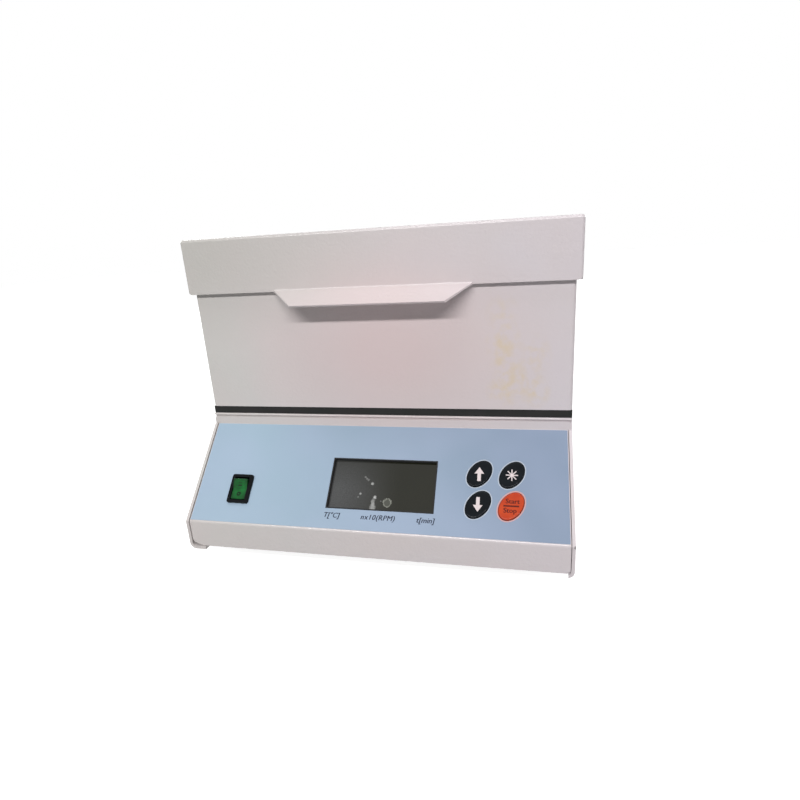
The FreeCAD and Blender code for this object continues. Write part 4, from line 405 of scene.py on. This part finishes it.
def foam():
    # Rigid polyurethane foam: pale yellow, matt, pores about 1 mm across
    material, tree, shader, place = surface("polyurethane_foam", "#ddd3ae", 0.9)
    mottle(tree, shader, place, 50.0, "#d6caa2", "#e2d9b8")
    pores = put(tree, "ShaderNodeTexVoronoi", {"Vector": place, "Scale": 900.0})
    relief = put(tree, "ShaderNodeBump", {"Height": pores.outputs["Distance"], "Strength": 0.5,
                                          "Distance": 0.0004})
    tree.links.new(relief.outputs["Normal"], shader.inputs["Normal"])
    return material


def brass():
    # Drawn brass: warm yellow, lightly tarnished
    material, tree, shader, place = surface("drawn_brass", "#c9a759", 0.32, metallic=1.0)
    mottle(tree, shader, place, 200.0, "#bd9a4e", "#d0b067")
    grain(tree, shader, place, 1500.0, 0.06, 0.0001, (1, 0.1, 1))
    return material


def circuit_board():
    # Glass-epoxy board under green solder mask, with the weave just showing
    material, tree, shader, place = surface("solder_mask_board", "#1f5a37", 0.35)
    mottle(tree, shader, place, 90.0, "#1b5231", "#27663f")
    grain(tree, shader, place, 1100.0, 0.1, 0.0001)
    return material


def painted_iron(name, dark, pale):
    # Dipped varnish over laminations or a cast can: satin, uneven
    material, tree, shader, place = surface(name, dark, 0.45)
    mottle(tree, shader, place, 80.0, dark, pale)
    grain(tree, shader, place, 500.0, 0.15, 0.0003)
    return material


def cable_skin():
    # Grey vinyl ribbon: ridged every 1.27 mm, one ridge a conductor
    material, tree, shader, place = surface("grey_vinyl_ribbon", "#86888b", 0.5)
    mottle(tree, shader, place, 70.0, "#808285", "#8e9093")
    ridges(tree, shader, place, 1.27 * MM, 0.0003)
    return material


pale_ink = ink("off_white_screen_ink", "#d8cccd")
rim_ink = ink("pale_grey_screen_ink", "#b9c2ce")
rose_ink = ink("pale_rose_screen_ink", "#c9a3a3")
dark_ink = ink("black_screen_ink", "#2b3040")
brown_ink = ink("brown_screen_ink", "#5a1b12")
green_ink = ink("dark_green_pad_ink", "#02200a")
zinc = zinc_plate()

FINISHES = (
    (powder_coat(), ("lid_shell", "chamber_housing", "console_panel", "base_pan", "rear_panel",
                     "top_deck")),
    (polyester_film(), ("control_film",)),
    (smoked_window(), ("display_window",)),
    (moulded_black(), ("rocker_housing", "key_switches", "mains_inlet", "fuse_drawer", "fan_frame",
                       "fan_rotor")),
    (isolator_laminate(), ("isolator_plate",)),
    (key_cap("charcoal_polycarbonate", "#080c11", "#0f1419"),
     ("key_up", "key_down", "key_function")),
    (key_cap("orange_polycarbonate", "#b94126", "#c34b2a"), ("key_start",)),
    (rocker_green(), ("rocker",)),
    (stainless(), ("chamber_liner", "lid_liner", "fan_baffle", "rack_rails", "heater_element",
                   "temperature_sensor", "display_module")),
    (zinc, ("case_screws", "foot_screws", "lid_hinge_screws", "hinge_body_leaves",
            "hinge_lid_leaves", "spacers", "counterweight")),
    (ground_steel(), ("hinge_pins", "shaft_bearings", "eccentric_shaft", "idler_bearings",
                      "idler_crank_1", "idler_crank_2", "idler_crank_3", "idler_crank_4",
                      "platform_bearing")),
    (milled_aluminium(), ("shaking_platform", "drive_plate", "idler_posts")),
    (rubber("black_moulded_rubber", "#131314", "#1b1b1c"),
     ("feet", "window_gasket", "shaft_seal")),
    (rubber("grey_silicone_rubber", "#77787a", "#838486"), ("lid_gasket",)),
    (ribbed_mat(), ("platform_mat",)),
    (foam(), ("chamber_insulation", "lid_insulation")),
    (brass(), ("inlet_pins", "platform_bushes")),
    (circuit_board(), ("control_board", "power_board")),
    (painted_iron("varnished_laminations", "#3b3734", "#4a4541"), ("transformer",)),
    (painted_iron("black_motor_enamel", "#1f2022", "#2a2b2d"), ("drive_motor",)),
    (cable_skin(), ("ribbon_cable",)),
)
for finish, names in FINISHES:
    for name in names:
        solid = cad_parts[name]
        solid.data.materials.clear()
        solid.data.materials.append(finish)


# Pieces made here

def made(name, mesh, material, body):
    """Closes a bmesh into a piece that rides on a body."""
    bmesh.ops.remove_doubles(mesh, verts=mesh.verts, dist=1e-7)
    bmesh.ops.recalc_face_normals(mesh, faces=mesh.faces)
    data = bpy.data.meshes.new(name)
    mesh.to_mesh(data)
    mesh.free()
    data.materials.append(material)
    piece = bpy.data.objects.new(name, data)
    bpy.context.collection.objects.link(piece)
    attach(piece, body)
    return piece


def edges_at(verts):
    """Edges at some vertices, always in the same order."""
    return list(dict.fromkeys(edge for vert in verts for edge in vert.link_edges))


# Printed marks: sizes in millimetres, drawn in the plane of their place

INK = 0.04
KEY_GAP = 0.3


def flat_ink(name, draw, place, material, body):
    """Thin piece of ink whose flat faces a function draws."""
    mesh = bmesh.new()
    draw(mesh)
    grown = bmesh.ops.extrude_face_region(mesh, geom=mesh.faces[:])
    moved = [item for item in grown["geom"] if isinstance(item, bmesh.types.BMVert)]
    bmesh.ops.translate(mesh, verts=moved, vec=(0, 0, INK * MM))
    bmesh.ops.transform(mesh, matrix=place, verts=mesh.verts)
    return made(name, mesh, material, body)


def bar(mesh, width, height):
    """Rectangle."""
    size = Matrix.Diagonal((width / 2 * MM, height / 2 * MM, 1, 1))
    bmesh.ops.create_grid(mesh, x_segments=1, y_segments=1, size=1, matrix=size)


def outline(mesh, corners):
    """One face from its corners, counterclockwise."""
    mesh.faces.new([mesh.verts.new((x * MM, y * MM, 0)) for x, y in corners])


def arrow(mesh, sign):
    """Up or down arrow, 9.7 mm tall."""
    outline(mesh, [(sign * x, sign * y) for x, y in (
        (0, 4.9), (-3.1, 0.4), (-1.15, 0.4), (-1.15, -4.8), (1.15, -4.8), (1.15, 0.4), (3.1, 0.4))])


def star(mesh, arms=8, reach=3.9, half=0.36):
    """Asterisk as one face, from its arms' length and half their width."""
    step = 2 * math.pi / arms
    corners = []
    for arm in range(arms):
        turn = step * arm
        along = Vector((math.cos(turn), math.sin(turn)))
        beside = Vector((-math.sin(turn), math.cos(turn)))
        between = turn + step / 2
        notch = Vector((math.cos(between), math.sin(between))) * half / math.sin(step / 2)
        corners += [along * reach - beside * half, along * reach + beside * half, notch]
    outline(mesh, corners)


def hoop(mesh, outlines, segments, turn=0.0):
    """Flat ring between two ellipses, each given by its radii."""
    loops = []
    for radii in outlines:
        shape = Matrix.Rotation(turn, 4, "Z") @ Matrix.Diagonal(
            (radii[0] * MM, radii[1] * MM, 1, 1))
        circle = bmesh.ops.create_circle(mesh, segments=segments, radius=1, matrix=shape)
        loops += edges_at(circle["verts"])
    bmesh.ops.bridge_loops(mesh, edges=loops)


def key_ring(mesh, width):
    """Printed outline round one key's place."""
    hoop(mesh, [[radius + spread for radius in KEY_RADII] for spread in (KEY_GAP, KEY_GAP + width)],
         72, KEY_TILT)


# A key's symbol, and how far it sits below the key's middle
SYMBOLS = {
    "key_up": (lambda mesh: arrow(mesh, 1), 0.65),
    "key_function": (star, 0.5),
    "key_down": (lambda mesh: arrow(mesh, -1), 0.1),
    "key_start": (lambda mesh: bar(mesh, 9.7, 1.0), 0.15),
}
for key, (x, up) in KEYS.items():
    draw, drop = SYMBOLS[key]
    shade, slot = (brown_ink, "key_orange") if key == "key_start" else (pale_ink, "key_charcoal")
    flat_ink(f"{key}_symbol", draw, slope_place(x, up - drop, KEY_TOP), shade, key)

for key, (x, up) in KEYS.items():
    shade, width = (rose_ink, 0.8) if key == "key_start" else (rim_ink, 0.6)
    flat_ink(f"{key}_ring", lambda mesh: key_ring(mesh, width), slope_place(x, up, FILM_TOP),
             shade, "base")


def lettering(name, words, size, place, material, body, slant, weight, spacing):
    """Small plain lettering, centred on its place and struck twice to give it its weight."""
    text = bpy.data.curves.new(name, "FONT")
    text.body = words
    text.size = size * MM
    text.shear = slant
    text.space_character = spacing
    text.align_x, text.align_y = "CENTER", "CENTER"
    text.extrude = INK / 2.2 * MM
    text.resolution_u = 3
    holder = bpy.data.objects.new(name, text)
    bpy.context.collection.objects.link(holder)
    bpy.context.view_layer.update()
    data = bpy.data.meshes.new_from_object(holder)
    bpy.data.objects.remove(holder)
    mesh = bmesh.new()
    for side in (-0.5, 0.5):
        # Set apart in height too, so that no two faces lie in one plane
        strike = Vector((weight, weight / 3, INK / 8)) * side * MM
        struck = len(mesh.verts)
        mesh.from_mesh(data)
        bmesh.ops.translate(mesh, verts=mesh.verts[struck:], vec=strike)
    bpy.data.meshes.remove(data)
    lifted = place @ Matrix.Translation((0, 0, INK / 2 * MM))
    bmesh.ops.transform(mesh, matrix=lifted, verts=mesh.verts)
    return made(name, mesh, material, body)


for name, words, x, spacing in (
        ("label_temperature", "T[°C]", -24.8, 1.0), ("label_speed", "nx10(RPM)", 7.2, 1.08),
        ("label_time", "t[min]", 39.0, 1.0)):
    lettering(name, words, 4.8, slope_place(x, -66.7, FILM_TOP), dark_ink, "base",
              0.2, 0.22, spacing)
for name, words, x, up in (
        ("start_word", "Start", 93.7, -51.4), ("stop_word", "Stop", 92.2, -57.4)):
    lettering(name, words, 4.4, slope_place(x, up, KEY_TOP), brown_ink, "key_start",
              0.0, 0.3, 1.02)

# The rocker's face stands highest at its two ends
FACE_MIDDLE, FACE_END, FACE_HALF = 2.6, 4.2, 7.4
face_lean = math.atan2(FACE_END - FACE_MIDDLE, FACE_HALF)
rocker_seat = slope_place(*ROCKER) @ Matrix.Rotation(ROCKER_TILT, 4, "X")
for name, up, draw in (
        ("rocker_on_mark", 2.6, lambda mesh: bar(mesh, 2.9, 0.9)),
        ("rocker_lamp_mark", 4.4, lambda mesh: bar(mesh, 2.7, 0.4)),
        ("rocker_off_mark", -3.4, lambda mesh: hoop(mesh, ((0.6, 0.6), (1.5, 1.5)), 32))):
    height = FACE_MIDDLE + abs(up) * math.tan(face_lean)
    place = rocker_seat @ Matrix.Translation(Vector((0, up, height)) * MM) @ Matrix.Rotation(
        math.copysign(face_lean, up), 4, "X")
    flat_ink(name, draw, place, green_ink, "rocker")


# Fasteners: sizes in millimetres

# Head's radius and height, and shank's radius
SMALL_SCREW = (2.8, 1.6, 1.5)
FOOT_SCREW = (3.6, 2.4, 2.0)
DOWN, BACK = (0, 0, -1), (0, 1, 0)


def screw_ring(mesh, radius, height, hexagonal, capped):
    """One ring of a screw's outline; a hexagonal one has the socket's flats at its radius."""
    ring = bmesh.ops.create_circle(mesh, segments=24, radius=radius * MM, cap_ends=capped,
                                   matrix=Matrix.Translation((0, 0, height * MM)))["verts"]
    if hexagonal:
        for vert in ring:
            turn = math.atan2(vert.co.y, vert.co.x) % (math.pi / 3) - math.pi / 6
            vert.co.xy /= math.cos(turn)
    return ring


def button_screws(node, body, places, size, length):
    """Socket button screws for a node's: domed heads stand on their places, shanks go in."""
    head, height, shank = size
    socket = head * 0.36
    # From the socket's floor up its wall, over the dome and down to the shank's bevelled end
    profile = ((socket, height * 0.4), (socket, height * 0.93), (socket * 1.3, height),
               (head * 0.66, height * 0.93), (head * 0.86, height * 0.72),
               (head * 0.97, height * 0.4), (head, height * 0.1), (head * 0.98, 0), (shank, 0),
               (shank, 0.3 * shank - length), (shank * 0.75, -length))
    mesh = bmesh.new()
    for spot, toward in places:
        rings = [screw_ring(mesh, radius, level, index < 2, index in (0, len(profile) - 1))
                 for index, (radius, level) in enumerate(profile)]
        loops = [edges_at(ring) for ring in rings]
        for first, second in zip(loops, loops[1:]):
            bmesh.ops.bridge_loops(mesh, edges=first + second)
        turn = Vector((0, 0, 1)).rotation_difference(Vector(toward)).to_matrix().to_4x4()
        bmesh.ops.transform(mesh, matrix=Matrix.Translation(Vector(spot) * MM) @ turn,
                            verts=[vert for ring in rings for vert in ring])
    screws = made(f"{node}_turned", mesh, zinc, body)
    for face in screws.data.polygons:
        face.use_smooth = True
    screws.data.set_sharp_from_angle(angle=math.radians(40))
    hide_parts(node)


# Where the heads sit, as the part's source has it: under the console, on the cheeks and on the
# hinges' leaves
hinge_screws = [sign * 82 + side * 13 for sign in SIDES for side in SIDES]
case_places = [((sign * 87, -162.2, 10.6), DOWN) for sign in SIDES]
case_places += [((sign * 131, y, 85.8), (sign, 0, 0)) for sign in SIDES for y in (-95.6, 23.7, 143)]
case_places += [((x, 168, 163), BACK) for x in hinge_screws]
button_screws("case_screws", "base", case_places, SMALL_SCREW, 4.2)
button_screws("lid_hinge_screws", "lid", [((x, 169.9, 193), BACK) for x in hinge_screws],
              SMALL_SCREW, 3.7)
button_screws("foot_screws", "base",
              [((sign * 109, y, 7.4), DOWN) for sign in SIDES for y in (-131, 143)],
              FOOT_SCREW, 7.2)


# Floor, surroundings and light

# Name, place and aim in metres, size in metres and power in watts
LAMPS = (
    ("tube_lamp", (0.02, -1.22, 1.01), (0.02, -0.12, 0.17), (1.55, 0.09), 19.0),
    ("ceiling_fill", (0, -0.25, 1.5), (0, -0.1, 0.1), (0.8, 0.6), 6.0),
    ("left_back_fill", (-1.2, 1.0, 0.6), (0, 0, 0.1), (0.9, 0.6), 11.0),
    ("right_back_fill", (1.3, 0.9, 0.6), (0, 0, 0.1), (0.9, 0.6), 11.0),
)


def seen_directly(tree):
    """1 for the camera's rays and what mirrors and glass show, 0 for the light that is thrown."""
    path = put(tree, "ShaderNodeLightPath", {})
    seen = path.outputs["Is Camera Ray"]
    for ray in ("Is Glossy Ray", "Is Transmission Ray"):
        seen = put(tree, "ShaderNodeMath", {0: seen, 1: path.outputs[ray]},
                   operation="MAXIMUM").outputs[0]
    return seen


def stage_floor():
    """White sweep that keeps the object's shadow and reads as the background elsewhere."""
    mesh = bmesh.new()
    bmesh.ops.create_grid(mesh, x_segments=1, y_segments=1, size=4)
    data = bpy.data.meshes.new("floor")
    mesh.to_mesh(data)
    mesh.free()
    floor = bpy.data.objects.new("floor", data)
    bpy.context.collection.objects.link(floor)
    material = bpy.data.materials.new("white_paper_sweep")
    material.use_nodes = True
    tree = material.node_tree
    shader = tree.nodes["Principled BSDF"]
    shader.inputs["Base Color"].default_value = linear("#a8a8a8")
    shader.inputs["Roughness"].default_value = 0.9
    shader.inputs["Emission Color"].default_value = linear("#ffffff")
    glow = put(tree, "ShaderNodeMath", {0: seen_directly(tree), 1: 0.9}, operation="MULTIPLY")
    tree.links.new(glow.outputs[0], shader.inputs["Emission Strength"])
    data.materials.append(material)


def white_world():
    """White surroundings that throw only a little light."""
    world = bpy.data.worlds.new("studio")
    bpy.context.scene.world = world
    world.use_nodes = True
    tree = world.node_tree
    back = tree.nodes["Background"]
    back.inputs["Color"].default_value = linear("#ffffff")
    level = put(tree, "ShaderNodeMapRange",
                {VALUE: seen_directly(tree), TO_LOW: 0.07, TO_HIGH: 1.0})
    tree.links.new(level.outputs[0], back.inputs["Strength"])


def softbox(name, place, aim, size, power):
    """Rectangular lamp turned towards its aim."""
    light = bpy.data.lights.new(name, "AREA")
    light.shape = "RECTANGLE"
    light.size, light.size_y = size
    light.energy = power
    lamp = bpy.data.objects.new(name, light)
    toward = (Vector(aim) - Vector(place)).normalized()
    lamp.matrix_world = Matrix.Translation(place) @ toward.to_track_quat(
        "-Z", "Y").to_matrix().to_4x4()
    bpy.context.collection.objects.link(lamp)


stage_floor()
white_world()
for lamp in LAMPS:
    softbox(*lamp)
photo_camera()
